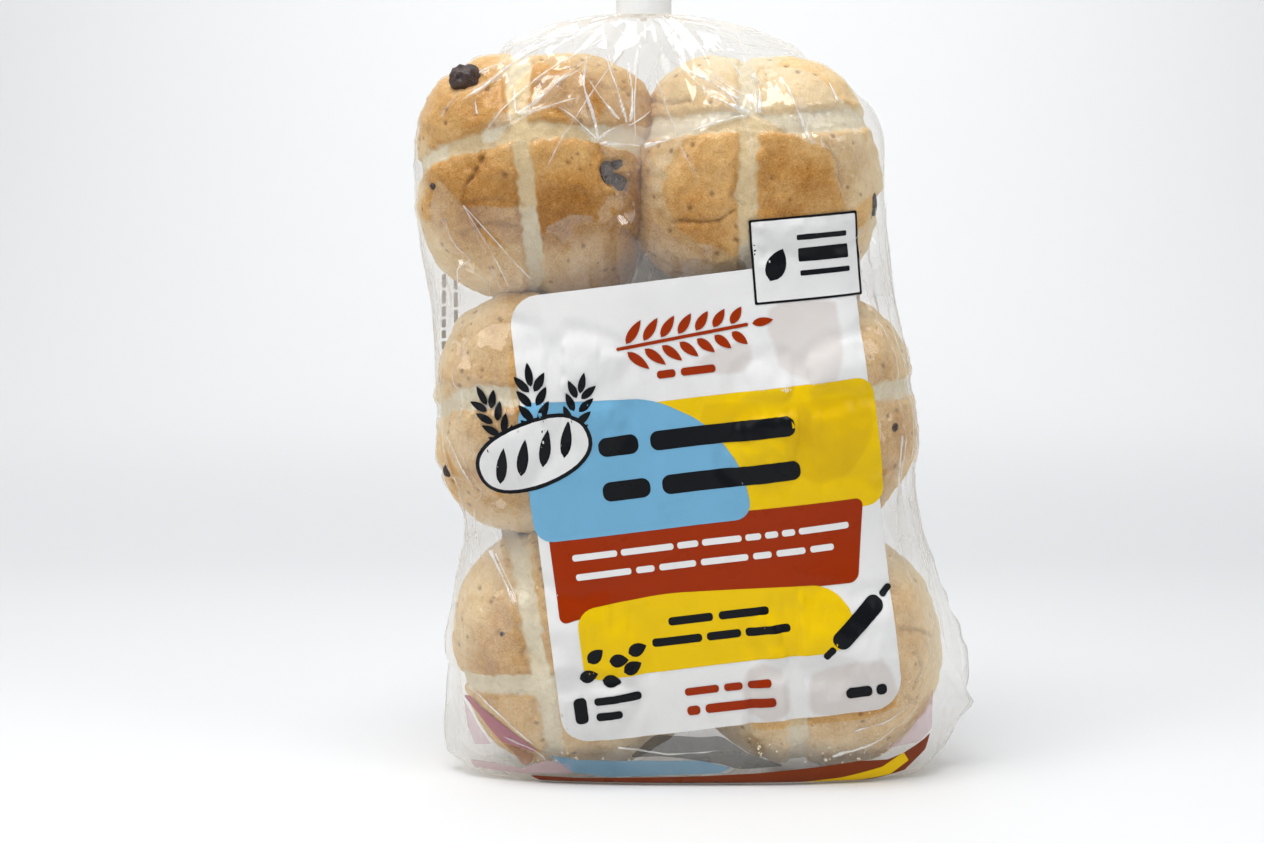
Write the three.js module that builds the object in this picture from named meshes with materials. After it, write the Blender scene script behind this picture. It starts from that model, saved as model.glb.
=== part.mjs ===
// A clear bag of six hot cross buns, stood on its folded base and gathered at the neck by a tape.
// The filled bag is one closed solid: the six buns push soft domes into its front, in three rows of
// two, and the rows step sideways as they rise. The gathered neck passes through the tape, and the
// end of the bag fans out above it. Millimetres, +Z up, front of the bag towards -Y, and the
// origin under the middle of the bag, on the surface that it stands on.

import * as THREE from 'three';

// Buns, as they lie in the bag: across it, up it and through it.
const BUN_WIDTH = 89;
const BUN_RISE = 91;
const BUN_DEPTH = 54;
const ROWS = 3;
const BASE_LIFT = 3;
const LOWEST_ROW_X = 1.5;
const ROW_STEP_X = -9.5;
const ROW_SPREAD = [1.035, 1.0, 0.98];

// Film round the buns.
const FILM_SLACK = 2.5;
const BACK_DEPTH = BUN_DEPTH / 2 + 2;
const FRONT_DEPTH = 26.6;
const WAIST = 2;
const FRONT_SQUARENESS = 2.56;
const BACK_SQUARENESS = 3.4;

// Domes that the crowns push into the front: their height, how widely they spread as a share of a
// bun, and how far they stand aside of the bun's middle and above it.
const DOME = 12;
const DOME_SPAN_ACROSS = 0.32;
const DOME_SPAN_UP = 0.288;
const DOME_ASIDE = 17;
const DOME_LIFT = 7.7;

// Flat base with a rounded edge, and the folded corners that stand out beside it.
const BASE_INSET = 9;
const BASE_ROUND = 13;
const FOLD_TOP = 100;
const FOLD_FOOT = 2;
const FOLD_THICKNESS = 4.5;
const LEFT_FOLD = { reach: 6, peak: 14 };
const RIGHT_FOLD = { reach: 12.5, peak: 33 };

// Shoulders, neck, tape and the fan of film above it.
const SHOULDER_Z = 245;
const SHOULDER_SQUARENESS = 1.8;
const NECK_Z = 293;
const NECK_X = -20;
const NECK_RADIUS = 9;
const TAPE_HEIGHT = 9;
const TAPE_THICKNESS = 1.2;
const TAPE_GAP = 0.3;
const TAPE_FLAG = 15;
const TAPE_CORNER = 0.5;
const FAN_HEIGHT = 38;
const FAN_HALF_WIDTH = 34;
const FAN_HALF_DEPTH = 11;
const PLEATS = 9;
const SHOULDER_PLEAT = 0.05;
const FAN_PLEAT = 0.16;
const FAN_RIPPLE = 2.5;

// Facets.
const AROUND = 84;
const BASE_LEVELS = 4;
const BODY_LEVELS = 32;
const SHOULDER_LEVELS = 10;
const FAN_LEVELS = 6;

const mix = (a, b, share) => a + (b - a) * share;
const clamp01 = (value) => Math.min(1, Math.max(0, value));
const smooth = (low, high, value) => {
  const share = clamp01((value - low) / (high - low));
  return share * share * (3 - 2 * share);
};
const bell = (distance, spread) => Math.exp(-0.5 * (distance / spread) ** 2);

const rowZ = (row) => BASE_LIFT + (row + 0.5) * BUN_RISE;
const rowX = (row) => LOWEST_ROW_X + row * ROW_STEP_X;

/** Left and right edge of the filled body at a height, pinched a little between the rows. */
function bodyEdges(z) {
  const place = Math.min(ROWS - 1, Math.max(0, (z - rowZ(0)) / BUN_RISE));
  const below = Math.min(ROWS - 2, Math.floor(place));
  const share = smooth(0, 1, place - below);
  const spread = mix(ROW_SPREAD[below], ROW_SPREAD[below + 1], share);
  const middle = mix(rowX(below), rowX(below + 1), share);
  const inner = place > 0 && place < ROWS - 1;
  const pinch = inner ? (WAIST / 2) * (1 - Math.cos(2 * Math.PI * place)) : 0;
  const half = BUN_WIDTH * spread + FILM_SLACK - pinch;
  return { left: middle - half, right: middle + half };
}

/** How far the six buns push the front of the film out at a point. */
function domes(x, z) {
  let push = 0;
  for (let row = 0; row < ROWS; row += 1) {
    for (const side of [-1, 1]) {
      const domeX = rowX(row) + side * ((BUN_WIDTH * ROW_SPREAD[row]) / 2 + DOME_ASIDE);
      const domeZ = rowZ(row) + DOME_LIFT;
      push += bell(x - domeX, DOME_SPAN_ACROSS * BUN_WIDTH) * bell(z - domeZ, DOME_SPAN_UP * BUN_RISE);
    }
  }
  return DOME * push;
}

/** How far a corner fold stands out at a height: a soft triangle with its tip at the fold's peak. */
function foldReach(fold, z) {
  const fall = (FOLD_TOP - z) / (FOLD_TOP - fold.peak);
  const rise = (z - FOLD_FOOT) / (fold.peak - FOLD_FOOT);
  return fold.reach * smooth(0, 1.15, Math.min(fall, rise));
}

/** A superellipse coordinate: signed power of a cosine or sine. */
const rounded = (value, squareness) => Math.sign(value) * Math.abs(value) ** (2 / squareness);

/** A point of the body or the shoulders. Angle 0 points to +X and a quarter turn to the back, +Y. */
function bodyPoint(angle, z) {
  const edges = bodyEdges(z);
  const up = clamp01((z - SHOULDER_Z) / (NECK_Z - SHOULDER_Z));
  const swell = Math.max(0, 1 - up ** SHOULDER_SQUARENESS) ** (1 / SHOULDER_SQUARENESS);
  const low = clamp01(1 - z / BASE_ROUND);
  const inset = BASE_INSET * (1 - Math.sqrt(Math.max(0, 1 - low * low)));

  const left = mix(NECK_X - NECK_RADIUS, edges.left + inset, swell);
  const right = mix(NECK_X + NECK_RADIUS, edges.right - inset, swell);
  const back = Math.sin(angle) > 0;
  const depth = mix(NECK_RADIUS, (back ? BACK_DEPTH : FRONT_DEPTH) - inset, swell);
  const squareness = mix(2, back ? BACK_SQUARENESS : FRONT_SQUARENESS, swell);

  const pleat = 1 + SHOULDER_PLEAT * smooth(0.35, 0.85, up) * (1 - smooth(0.9, 1, up))
    * Math.cos(PLEATS * angle);
  let x = (left + right) / 2 + pleat * ((right - left) / 2) * rounded(Math.cos(angle), squareness);
  let y = pleat * depth * rounded(Math.sin(angle), squareness);

  const reach = Math.cos(angle) > 0 ? foldReach(RIGHT_FOLD, z) : -foldReach(LEFT_FOLD, z);
  x += reach * bell(y, FOLD_THICKNESS);
  if (!back) {
    y -= domes(x, z) * -Math.sin(angle) * swell * (1 - low);
  }
  return new THREE.Vector3(x, y, z);
}

/** A point of the fan above the tape, from its foot at rise 0 to its top edge at rise 1. */
function fanPoint(angle, rise) {
  const flare = smooth(0, 1, rise);
  const pleat = 1 + FAN_PLEAT * flare * Math.cos(PLEATS * angle);
  const ripple = FAN_RIPPLE * flare * Math.cos(3 * angle + 1);
  return new THREE.Vector3(
    NECK_X + pleat * mix(NECK_RADIUS, FAN_HALF_WIDTH, flare) * Math.cos(angle),
    pleat * mix(NECK_RADIUS, FAN_HALF_DEPTH, flare) * Math.sin(angle),
    NECK_Z + TAPE_HEIGHT + FAN_HEIGHT * rise + ripple,
  );
}

/** The rings of the bag, from the edge of its base to the top of the fan. */
function bagRings() {
  const levels = [];
  for (let i = 0; i < BASE_LEVELS; i += 1) {
    const turn = (i / BASE_LEVELS) * (Math.PI / 2);
    levels.push({ point: bodyPoint, at: BASE_ROUND * (1 - Math.cos(turn)) });
  }
  for (let i = 0; i < BODY_LEVELS; i += 1) {
    levels.push({ point: bodyPoint, at: mix(BASE_ROUND, SHOULDER_Z, i / BODY_LEVELS) });
  }
  for (let i = 0; i <= SHOULDER_LEVELS; i += 1) {
    const turn = (i / SHOULDER_LEVELS) * (Math.PI / 2);
    levels.push({ point: bodyPoint, at: mix(SHOULDER_Z, NECK_Z, Math.sin(turn)) });
  }
  for (let i = 0; i <= FAN_LEVELS; i += 1) {
    levels.push({ point: fanPoint, at: i / FAN_LEVELS });
  }
  return levels.map(({ point, at }) => {
    const ring = [];
    for (let i = 0; i < AROUND; i += 1) {
      ring.push(point((2 * Math.PI * i) / AROUND, at));
    }
    return ring;
  });
}

/** A closed skin over a stack of rings, with a fan of triangles over each end. */
function loft(rings) {
  const count = rings[0].length;
  const points = rings.flat();
  const middle = (ring) => ring
    .reduce((sum, point) => sum.add(point), new THREE.Vector3())
    .divideScalar(count);
  const foot = points.push(middle(rings[0])) - 1;
  const top = points.push(middle(rings[rings.length - 1])) - 1;
  const lastRing = (rings.length - 1) * count;
  const triangles = [];
  for (let i = 0; i < count; i += 1) {
    const next = (i + 1) % count;
    triangles.push(foot, next, i);
    triangles.push(top, lastRing + i, lastRing + next);
    for (let level = 0; level < rings.length - 1; level += 1) {
      const here = level * count;
      const above = here + count;
      triangles.push(here + i, here + next, above + next);
      triangles.push(here + i, above + next, above + i);
    }
  }
  const geometry = new THREE.BufferGeometry().setFromPoints(points);
  geometry.setIndex(triangles);
  geometry.computeVertexNormals();
  return geometry;
}

/** A band round the neck whose two stuck ends stand out to +X as a flag. */
function tapeGeometry() {
  const inner = NECK_RADIUS + TAPE_GAP;
  const outer = inner + TAPE_THICKNESS;
  const turn = Math.asin(TAPE_THICKNESS / outer);
  const outline = new THREE.Shape();
  outline.absarc(0, 0, outer, turn, 2 * Math.PI - turn, false);
  outline.lineTo(outer + TAPE_FLAG - TAPE_CORNER, -TAPE_THICKNESS);
  outline.absarc(
    outer + TAPE_FLAG - TAPE_CORNER,
    -TAPE_THICKNESS + TAPE_CORNER,
    TAPE_CORNER,
    -Math.PI / 2,
    0,
    false,
  );
  outline.absarc(
    outer + TAPE_FLAG - TAPE_CORNER,
    TAPE_THICKNESS - TAPE_CORNER,
    TAPE_CORNER,
    0,
    Math.PI / 2,
    false,
  );
  outline.closePath();
  const hole = new THREE.Path();
  hole.absarc(0, 0, inner, 0, 2 * Math.PI, true);
  outline.holes.push(hole);
  const height = TAPE_HEIGHT - 2 * TAPE_GAP;
  return new THREE.ExtrudeGeometry(outline, { depth: height, bevelEnabled: false, curveSegments: 24 });
}

const filled = new THREE.MeshStandardMaterial({ color: 0xd9ab72, roughness: 0.3, metalness: 0 });
const white = new THREE.MeshStandardMaterial({ color: 0xf2f2ef, roughness: 0.5, metalness: 0 });

const bag = new THREE.Mesh(loft(bagRings()), filled);
bag.name = 'bag';

// The flag is turned to the back of the bag.
const tape = new THREE.Mesh(tapeGeometry(), white);
tape.name = 'neck_tape';
tape.rotation.z = Math.PI / 2;
tape.position.set(NECK_X, 0, NECK_Z + TAPE_GAP);

const middle = new THREE.Box3().setFromObject(bag).getCenter(new THREE.Vector3());
const pack = new THREE.Group();
pack.name = 'bag_of_hot_cross_buns';
pack.add(bag, tape);
pack.position.set(-middle.x, -middle.y, 0);

export default pack;
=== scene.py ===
# %% [markdown]
# # A clear bag of six hot cross buns
#
# This lesson dresses a plain solid as a bakery pack: six buns with flour-paste crosses, raisins in the
# crust, a clear crackling film round them, and flat fields of print on the film. The solid is loaded as a
# fixed frame, and every piece is placed from its box. Sizes are in millimetres, unless they say metres.

# %% Load the frame
import math
from contextlib import contextmanager

import bpy
import numpy as np
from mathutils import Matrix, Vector
from mathutils.bvhtree import BVHTree
from mathutils.kdtree import KDTree


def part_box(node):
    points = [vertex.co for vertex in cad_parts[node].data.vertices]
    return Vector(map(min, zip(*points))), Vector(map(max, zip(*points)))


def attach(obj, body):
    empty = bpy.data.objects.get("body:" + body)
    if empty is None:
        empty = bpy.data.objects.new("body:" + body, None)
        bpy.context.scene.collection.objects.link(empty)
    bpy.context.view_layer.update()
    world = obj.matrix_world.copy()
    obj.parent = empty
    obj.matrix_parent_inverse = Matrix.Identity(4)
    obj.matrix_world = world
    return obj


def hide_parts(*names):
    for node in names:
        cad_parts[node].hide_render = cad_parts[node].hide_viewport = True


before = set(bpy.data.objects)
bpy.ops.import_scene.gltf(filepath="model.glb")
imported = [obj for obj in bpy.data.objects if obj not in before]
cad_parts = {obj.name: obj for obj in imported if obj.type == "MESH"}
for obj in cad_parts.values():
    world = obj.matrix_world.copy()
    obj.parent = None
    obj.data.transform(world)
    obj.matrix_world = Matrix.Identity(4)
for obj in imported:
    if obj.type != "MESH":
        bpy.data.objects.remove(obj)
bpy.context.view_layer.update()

MM = 0.001
bag_low, bag_high = (np.array(corner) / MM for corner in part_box("bag"))
tape_low, tape_high = (np.array(corner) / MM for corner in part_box("neck_tape"))
print("bag box in mm:", bag_low.round(1), bag_high.round(1))

# %% [markdown]
# ## Working with points
#
# A loaf or a bag isn't drawn point by point. It starts as a primitive, is cut finely, and then all its
# points are moved at once by a formula, as a hand would push dough. A number kept with each point can be
# read by a material later.

# %% Helpers for meshes
def choose(*pieces):
    """Selects these pieces and nothing else, because an operator acts on all that is selected."""
    if bpy.context.object and bpy.context.object.mode != "OBJECT":
        bpy.ops.object.mode_set(mode="OBJECT")
    bpy.ops.object.select_all(action="DESELECT")
    for piece in pieces:
        piece.select_set(True)
    if pieces:
        bpy.context.view_layer.objects.active = pieces[0]


@contextmanager
def editing(piece, choice="SELECT", part="VERT"):
    """Edit mode on a piece, with all or none of it selected, or with choice None as it was."""
    choose(piece)
    bpy.ops.object.mode_set(mode="EDIT")
    if choice:
        bpy.ops.mesh.select_mode(type=part)
        bpy.ops.mesh.select_all(action=choice)
    yield
    bpy.ops.object.mode_set(mode="OBJECT")


def pick(piece, part, chosen):
    """Selects these points, edges or faces of a piece and nothing else."""
    with editing(piece, "DESELECT", part):
        pass
    mesh = piece.data
    {"VERT": mesh.vertices, "EDGE": mesh.edges, "FACE": mesh.polygons}[part].foreach_set("select", chosen)


def named(name):
    """Names the active object and its mesh."""
    piece = bpy.context.object
    piece.name = piece.data.name = name
    return piece


def read(items, key, width):
    """A row of numbers for each item of a mesh."""
    numbers = np.empty(width * len(items))
    items.foreach_get(key, numbers)
    return numbers.reshape(-1, width)


def take_points(piece):
    """A piece's points in millimetres."""
    return read(piece.data.vertices, "co", 3) / MM


def take_normals(piece):
    """The way that the surface faces at each point."""
    return read(piece.data.vertex_normals, "vector", 3)


def take_values(piece, name):
    """The numbers kept with the points of a piece."""
    return read(piece.data.attributes[name].data, "value", 1)[:, 0]


def put_points(piece, points):
    """Moves a piece's points to these places."""
    piece.data.vertices.foreach_set("co", np.ascontiguousarray(points * MM).ravel())
    piece.data.update()


def put_values(piece, **values):
    """Keeps numbers with the points, under names that a material can read."""
    for name, numbers in values.items():
        layer = piece.data.attributes.new(name, "FLOAT", "POINT")
        numbers = np.broadcast_to(numbers, len(piece.data.vertices))
        layer.data.foreach_set("value", np.ascontiguousarray(numbers, dtype=np.float32))


def grid(name, columns, rows):
    """A flat grid, and the column and the row of each of its points."""
    choose()
    bpy.ops.mesh.primitive_grid_add(x_subdivisions=columns, y_subdivisions=rows, size=1)
    piece = named(name)
    place = take_points(piece) * MM + 0.5
    return piece, np.rint(place[:, 0] * columns).astype(int), np.rint(place[:, 1] * rows).astype(int)


def close_seam(piece):
    """Merges the points that meet, and turns all faces out."""
    with editing(piece):
        bpy.ops.mesh.remove_doubles(threshold=0.02 * MM)
        bpy.ops.mesh.normals_make_consistent(inside=False)


def copy_of(piece, name):
    """A copy of a piece with a mesh of its own."""
    twin = piece.copy()
    twin.data = piece.data.copy()
    twin.parent = None
    twin.name = twin.data.name = name
    bpy.context.scene.collection.objects.link(twin)
    return twin


def apply_modifier(piece, kind, **settings):
    """Adds a modifier, sets it and applies it."""
    choose(piece)
    modifier = piece.modifiers.new(kind.lower(), kind)
    for setting, value in settings.items():
        setattr(modifier, setting, value)
    bpy.ops.object.modifier_apply(modifier=modifier.name)


def join(pieces, name):
    """Joins pieces into one mesh."""
    choose(*pieces)
    bpy.ops.object.join()
    return named(name)


def surface_of(piece):
    """A piece's surface, ready for rays and for nearest points."""
    return BVHTree.FromObject(piece, bpy.context.evaluated_depsgraph_get())


def crowd_of(points):
    """Points, ready to be found by their distance."""
    tree = KDTree(len(points))
    for index, point in enumerate(points):
        tree.insert(point, index)
    tree.balance()
    return tree


def finish(piece, slot, material):
    """Smooths a piece, gives it its material, and lets it stand for the plain bag."""
    choose(piece)
    bpy.ops.object.shade_smooth()
    piece.data.materials.clear()
    piece.data.materials.append(material)
    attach(piece, "root")
    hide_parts("bag")
    print(piece.name, "has", len(piece.data.polygons), "faces")


# %% [markdown]
# ## Uneven, but the same each time
#
# Dough and film are uneven without being noisy. `lumps` adds up soft waves in all directions, and its seed
# fixes them, so the lesson gives the same buns each time. `smooth` blends one state into another.

# %% Helpers for shapes
def smooth(low, high, value):
    """Rises gently from 0 at low to 1 at high. It falls instead where low is above high."""
    share = np.clip((value - low) / (high - low), 0, 1)
    return share * share * (3 - 2 * share)


def lumps(points, size, seed, waves=40):
    """A soft random height, mostly from -1 to 1, whose bumps are about `size` across."""
    chance = np.random.default_rng(seed)
    heading = chance.normal(size=(waves, points.shape[1]))
    heading /= np.linalg.norm(heading, axis=1)[:, None]
    length = 2 * size * chance.uniform(0.75, 1.6, waves)
    start = chance.uniform(0, 2 * np.pi, waves)
    return np.cos(points @ (2 * np.pi * heading / length[:, None]).T + start).sum(1) / math.sqrt(waves)


def creased(points, size, seed):
    """Sharp folds between flat facets: 1 along the folds, lower between them."""
    return 1 - np.abs(lumps(points, size, seed))


def turned(right, up, degrees, foot=(0, 0)):
    """Turns places in a plane, then moves them to a foot."""
    cos, sin = math.cos(math.radians(degrees)), math.sin(math.radians(degrees))
    return np.stack([foot[0] + right * cos - up * sin, foot[1] + right * sin + up * cos], -1)


def off_stroke(places, start, end):
    """How far each flat place is from a straight stroke."""
    way = end - start
    share = np.clip((places - start) @ way / (way @ way), 0, 1)
    return np.linalg.norm(places - start - share[:, None] * way, axis=1)


def walked(steps):
    """How far a walk has come: 0, then each sum of its steps so far."""
    return np.concatenate([[0], np.cumsum(steps)])


# %% [markdown]
# ## Writing a material
#
# A material is a recipe: values run on wires from node to node. Here a wire can be added to and
# multiplied like a number, and each such sum adds a Math node.

# %% Helpers for materials
def plug(sockets, *values):
    """Fills sockets in turn with numbers, colours or wires."""
    for socket, value in zip(sockets, values):
        if isinstance(value, Wire):
            socket.id_data.links.new(value.socket, socket)
        else:
            socket.default_value = value


class Wire:
    """A value on its way to another node."""

    def __init__(self, socket):
        self.socket = socket

    def maths(self, operation, other, clamp=False):
        """Runs the value and another one through a Math node."""
        made = self.socket.id_data.nodes.new("ShaderNodeMath")
        made.operation = operation
        made.use_clamp = clamp
        plug(made.inputs, self, other)
        return Wire(made.outputs[0])

    def __add__(self, other):
        return self.maths("ADD", other)

    def __sub__(self, other):
        return self.maths("SUBTRACT", other)

    def __mul__(self, other):
        return self.maths("MULTIPLY", other)

    def at_least(self, other):
        """The larger of two values."""
        return self.maths("MAXIMUM", other)

    def clamped(self):
        """The value, kept from 0 to 1."""
        return self.maths("ADD", 0.0, clamp=True)


class Recipe:
    """The nodes of a material or a world, with a short word for each kind that is used here."""

    def __init__(self, owner):
        owner.use_nodes = True
        self.owner, self.tree = owner, owner.node_tree

    def node(self, kind, output=0, **values):
        """Adds a node, fills its inputs and settings by name, and gives back one output."""
        made = self.tree.nodes.new("ShaderNode" + kind)
        for key, value in values.items():
            if key in made.inputs:
                plug([made.inputs[key]], value)
            else:
                setattr(made, key, value)
        return Wire(made.outputs[output])

    def kept(self, name):
        """A number kept with the points of the piece."""
        return self.node("Attribute", "Fac", attribute_name=name)

    def noise(self, size, detail=3.0, roughness=0.5):
        """Noise with bumps of about this many millimetres."""
        values = dict(Scale=1 / (size * MM), Detail=detail, Roughness=roughness)
        return self.node("TexNoise", "Fac", Vector=self.node("TexCoord", "Object"), **values)

    def step(self, value, low, high, start=0.0, end=1.0):
        """A smooth step between two values."""
        ends = {"From Min": low, "From Max": high, "To Min": start, "To Max": end}
        return self.node("MapRange", "Result", interpolation_type="SMOOTHSTEP", Value=value, **ends)

    def ramp(self, value, *stops):
        """Colours along a value, each with its position."""
        made = self.tree.nodes.new("ShaderNodeValToRGB")
        bar = made.color_ramp.elements
        bar[0].position, bar[0].color = stops[0][0], (*stops[0][1], 1)
        bar[1].position, bar[1].color = stops[-1][0], (*stops[-1][1], 1)
        for position, colour in stops[1:-1]:
            bar.new(position).color = (*colour, 1)
        plug(made.inputs, value)
        return Wire(made.outputs["Color"])

    def blend(self, share, first, second, kind="MIX"):
        """Mixes two colours."""
        return self.node("Mix", "Result", data_type="RGBA", blend_type=kind, Factor=share, A=first, B=second)

    def vector(self, operation, first, second):
        """Vector maths."""
        made = self.tree.nodes.new("ShaderNodeVectorMath")
        made.operation = operation
        other = "Scale" if operation == "SCALE" else 1
        plug([made.inputs[0], made.inputs[other]], first, second)
        return Wire(made.outputs[0])

    def bump(self, height, strength, distance, **more):
        """A slight relief of this many millimetres."""
        return self.node("Bump", Height=height, Strength=strength, Distance=distance * MM, **more)

    def layered(self, share, under, over):
        """Mixes two shaders."""
        made = self.tree.nodes.new("ShaderNodeMixShader")
        plug(made.inputs, share, under, over)
        return Wire(made.outputs[0])

    def paint(self, colour, rough, relief=None, specular=0.5):
        """Sets the colour, roughness, relief and shine of the plain shader."""
        shader = self.tree.nodes["Principled BSDF"]
        names = ("Base Color", "Roughness", "Specular IOR Level")
        plug([shader.inputs[name] for name in names], colour, rough, specular)
        if relief:
            plug([shader.inputs["Normal"]], relief)
        return self.owner

    def cover(self, layers):
        """Puts mixed shaders on the surface, and drops the plain one if nothing uses it."""
        plug([self.tree.nodes["Material Output"].inputs["Surface"]], layers)
        plain = self.tree.nodes["Principled BSDF"]
        if not plain.outputs[0].is_linked:
            self.tree.nodes.remove(plain)
        return self.owner


def recipe(name):
    """A new, plain material to add to."""
    return Recipe(bpy.data.materials.new(name))


# %% [markdown]
# ## Camera, floor and light
#
# The pack is shown on a white sweep: a floor that curves up into a wall, so that no horizon shows. Film
# shows almost nothing but what it reflects, so it needs large bright lights, and the sweep itself is one.
# Everything in this step is in metres.

# %% Camera
CAMERA_AT = Vector((-0.0248, -0.81, 0.228))
CAMERA_DOWN = math.radians(6.3)
bpy.ops.object.camera_add(location=CAMERA_AT, rotation=(math.pi / 2 - CAMERA_DOWN, 0, 0))
camera = bpy.context.object
camera.name = "camera"
camera.data.lens = 60
bpy.context.scene.camera = camera
bpy.context.scene.view_settings.view_transform = "Standard"

# %% White sweep
SWEEP_HALF_WIDTH = 4.0
SWEEP_BACK = 2.6
SWEEP_HEIGHT = 3.0
SWEEP_BEND = 1.2
choose()
bpy.ops.mesh.primitive_plane_add(size=2 * SWEEP_HALF_WIDTH, location=(0, SWEEP_BACK - SWEEP_HALF_WIDTH, 0))
sweep = named("sweep")
corners = sweep.data.vertices
pick(sweep, "EDGE", [all(corners[corner].co.y > 0 for corner in edge.vertices) for edge in sweep.data.edges])
with editing(sweep, None):
    bpy.ops.mesh.extrude_region_move(TRANSFORM_OT_translate={"value": (0, 0, SWEEP_HEIGHT)})
apply_modifier(sweep, "BEVEL", width=SWEEP_BEND, segments=24)
bpy.ops.object.shade_smooth()
bpy.ops.object.transform_apply(location=True, rotation=True, scale=True)
sweep.data.materials.append(recipe("white_paper").paint((0.785, 0.79, 0.795, 1), 0.9, specular=0.1))

# %% Lights
sky = Recipe(bpy.data.worlds.new("studio"))
bpy.context.scene.world = sky.owner
front_to_back = sky.node("SeparateXYZ", "Y", Vector=sky.node("TexCoord", "Generated"))
background = sky.tree.nodes["Background"].inputs
plug([background["Color"], background["Strength"]],
     (0.93, 0.96, 1.0, 1), sky.step(front_to_back, -0.9, 0.5, 0.17, 0.76))

# Each light: its place, its target, its width and its power in watts.
BAG_MIDDLE = (0, 0, 0.14)
LIGHTS = {
    "light_above": ((-0.2, -0.35, 1.25), BAG_MIDDLE, 0.7, 12),
    "light_left": ((-1.25, -0.75, 0.95), BAG_MIDDLE, 0.8, 5),
    "light_right": ((1.25, -0.8, 0.95), BAG_MIDDLE, 0.8, 5),
    "light_wall": ((0, 1.1, 1.9), (0, 2.6, 1.4), 1.6, 34),
}
for name, (place, target, size, power) in LIGHTS.items():
    bpy.ops.object.light_add(type="AREA", location=place)
    light = bpy.context.object
    light.name = name
    light.data.size = size
    light.data.energy = power
    light.rotation_euler = (Vector(target) - Vector(place)).to_track_quat("-Z", "Y").to_euler()
print("camera, sweep and", len(LIGHTS), "lights are in place")

# %% [markdown]
# ## The buns
#
# A hot cross bun is a ball of dough that spreads on its tray: flat below, full above, and a little square
# where it has baked against its neighbours. In the bag the undersides lie against the back, and the crowns
# face the front. Each bun starts as a finely cut cube, because a cube blown up to a ball has no pinched
# poles. The list says how each one lies, sags and browned, and where its cross was piped.

# %% Where each bun lies
BUN_DEPTH = 57.2
UNDERSIDE_DEPTH = 20
CROWN_DEPTH = BUN_DEPTH - UNDERSIDE_DEPTH
BACK_Y = bag_high[1] - 2.6
WIDEST_Y = BACK_Y - UNDERSIDE_DEPTH

BUNS = {
    "bun_top_left": dict(
        x=-60.8, z=232, width=89.5, rise=90.5, sag=(0.03, 0.19), cross=(-5.5, 9.5), slants=(-1, 4),
        squareness=2.6, touch=("right", -21.2, 9.3), bake=0.04, left_slant=10,
    ),
    # The top right bun is painted paler near the top of its crown: a painted highlight.
    "bun_top_right": dict(
        x=21.3, z=231.5, width=92.5, rise=89, sag=(0.0, 0.02), cross=(-3.2, 20), slants=(1.5, 0),
        squareness=2.7, touch=("left", -21.2, 9.3), bake=-0.12, painted_top_light=0.14,
    ),
    "bun_middle_left": dict(
        x=-53.8, z=141, width=89.5, rise=92, sag=(0.0, 0.22), cross=(1, 3), slants=(4, 5),
        squareness=2.5, touch=("right", -8.6, 5), bake=-0.03,
    ),
    "bun_middle_right": dict(
        x=36.5, z=141, width=92, rise=91.5, sag=(0.0, 0.04), cross=(2, 6), slants=(7, 5),
        squareness=2.5, touch=("left", -8.6, 5), bake=-0.05,
    ),
    "bun_bottom_left": dict(
        x=-45.0, z=49, width=92.5, rise=91, sag=(0.0, 0.15), cross=(-13.5, -13), slants=(0, 10),
        squareness=2.45, touch=("right", 1.0, 3), bake=-0.02,
    ),
    "bun_bottom_right": dict(
        x=46.2, z=48.5, width=91, rise=90.5, sag=(0.0, 0.05), cross=(-9.5, -4), slants=(2, 6),
        squareness=2.45, touch=("left", 1.0, 3), bake=-0.16, right_arm=22,
    ),
}

# %% Dough
BUN_CUTS = 100
CROWN_FULLNESS = 2.25
UNDERSIDE_FULLNESS = 3.4
TOUCH_SOFTNESS = 1.1
FOOT_LIFT = 1.0


def ball_of_dough(name):
    """A cube cut finely and blown up to a ball of radius 1, with its faces all about the same size."""
    choose()
    bpy.ops.mesh.primitive_cube_add(size=2)
    bun = named(name)
    with editing(bun):
        bpy.ops.mesh.subdivide(number_cuts=BUN_CUTS)
    corners = np.tan(take_points(bun) * MM * math.pi / 4)
    return bun, corners / np.linalg.norm(corners, axis=1)[:, None]


def baked_shape(ball, width, rise, squareness):
    """How far right, up and out of the bun's own middle each point lies."""
    around = np.arctan2(ball[:, 2], ball[:, 0])
    out = np.arcsin(np.clip(-ball[:, 1], -1, 1))
    cos, sin = np.abs(np.cos(around)), np.abs(np.sin(around))
    outline = (cos ** squareness + sin ** squareness) ** (-1 / squareness)
    fullness = np.where(out > 0, CROWN_FULLNESS, UNDERSIDE_FULLNESS)
    reach = outline * np.abs(np.cos(out)) ** (2 / fullness)
    height = np.sign(out) * np.abs(np.sin(out)) ** (2 / fullness)
    right = reach * np.cos(around) * width / 2
    up = reach * np.sin(around) * rise / 2
    return right, up, height * np.where(out > 0, CROWN_DEPTH, UNDERSIDE_DEPTH)


def touch_line(points, x, slant):
    """The x of the slanting line along which two buns touch, beside each point."""
    return x + math.tan(math.radians(slant)) * (points[:, 2] - points[:, 2].mean())


def press_flat(points, side, x, slant):
    """Flattens a bun where it has baked against its neighbour."""
    line = touch_line(points, x, slant)
    past = points[:, 0] - line if side == "right" else line - points[:, 0]
    pressed = -TOUCH_SOFTNESS * np.logaddexp(0, -past / TOUCH_SOFTNESS)
    points[:, 0] += (1 if side == "right" else -1) * (pressed - past)
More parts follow.
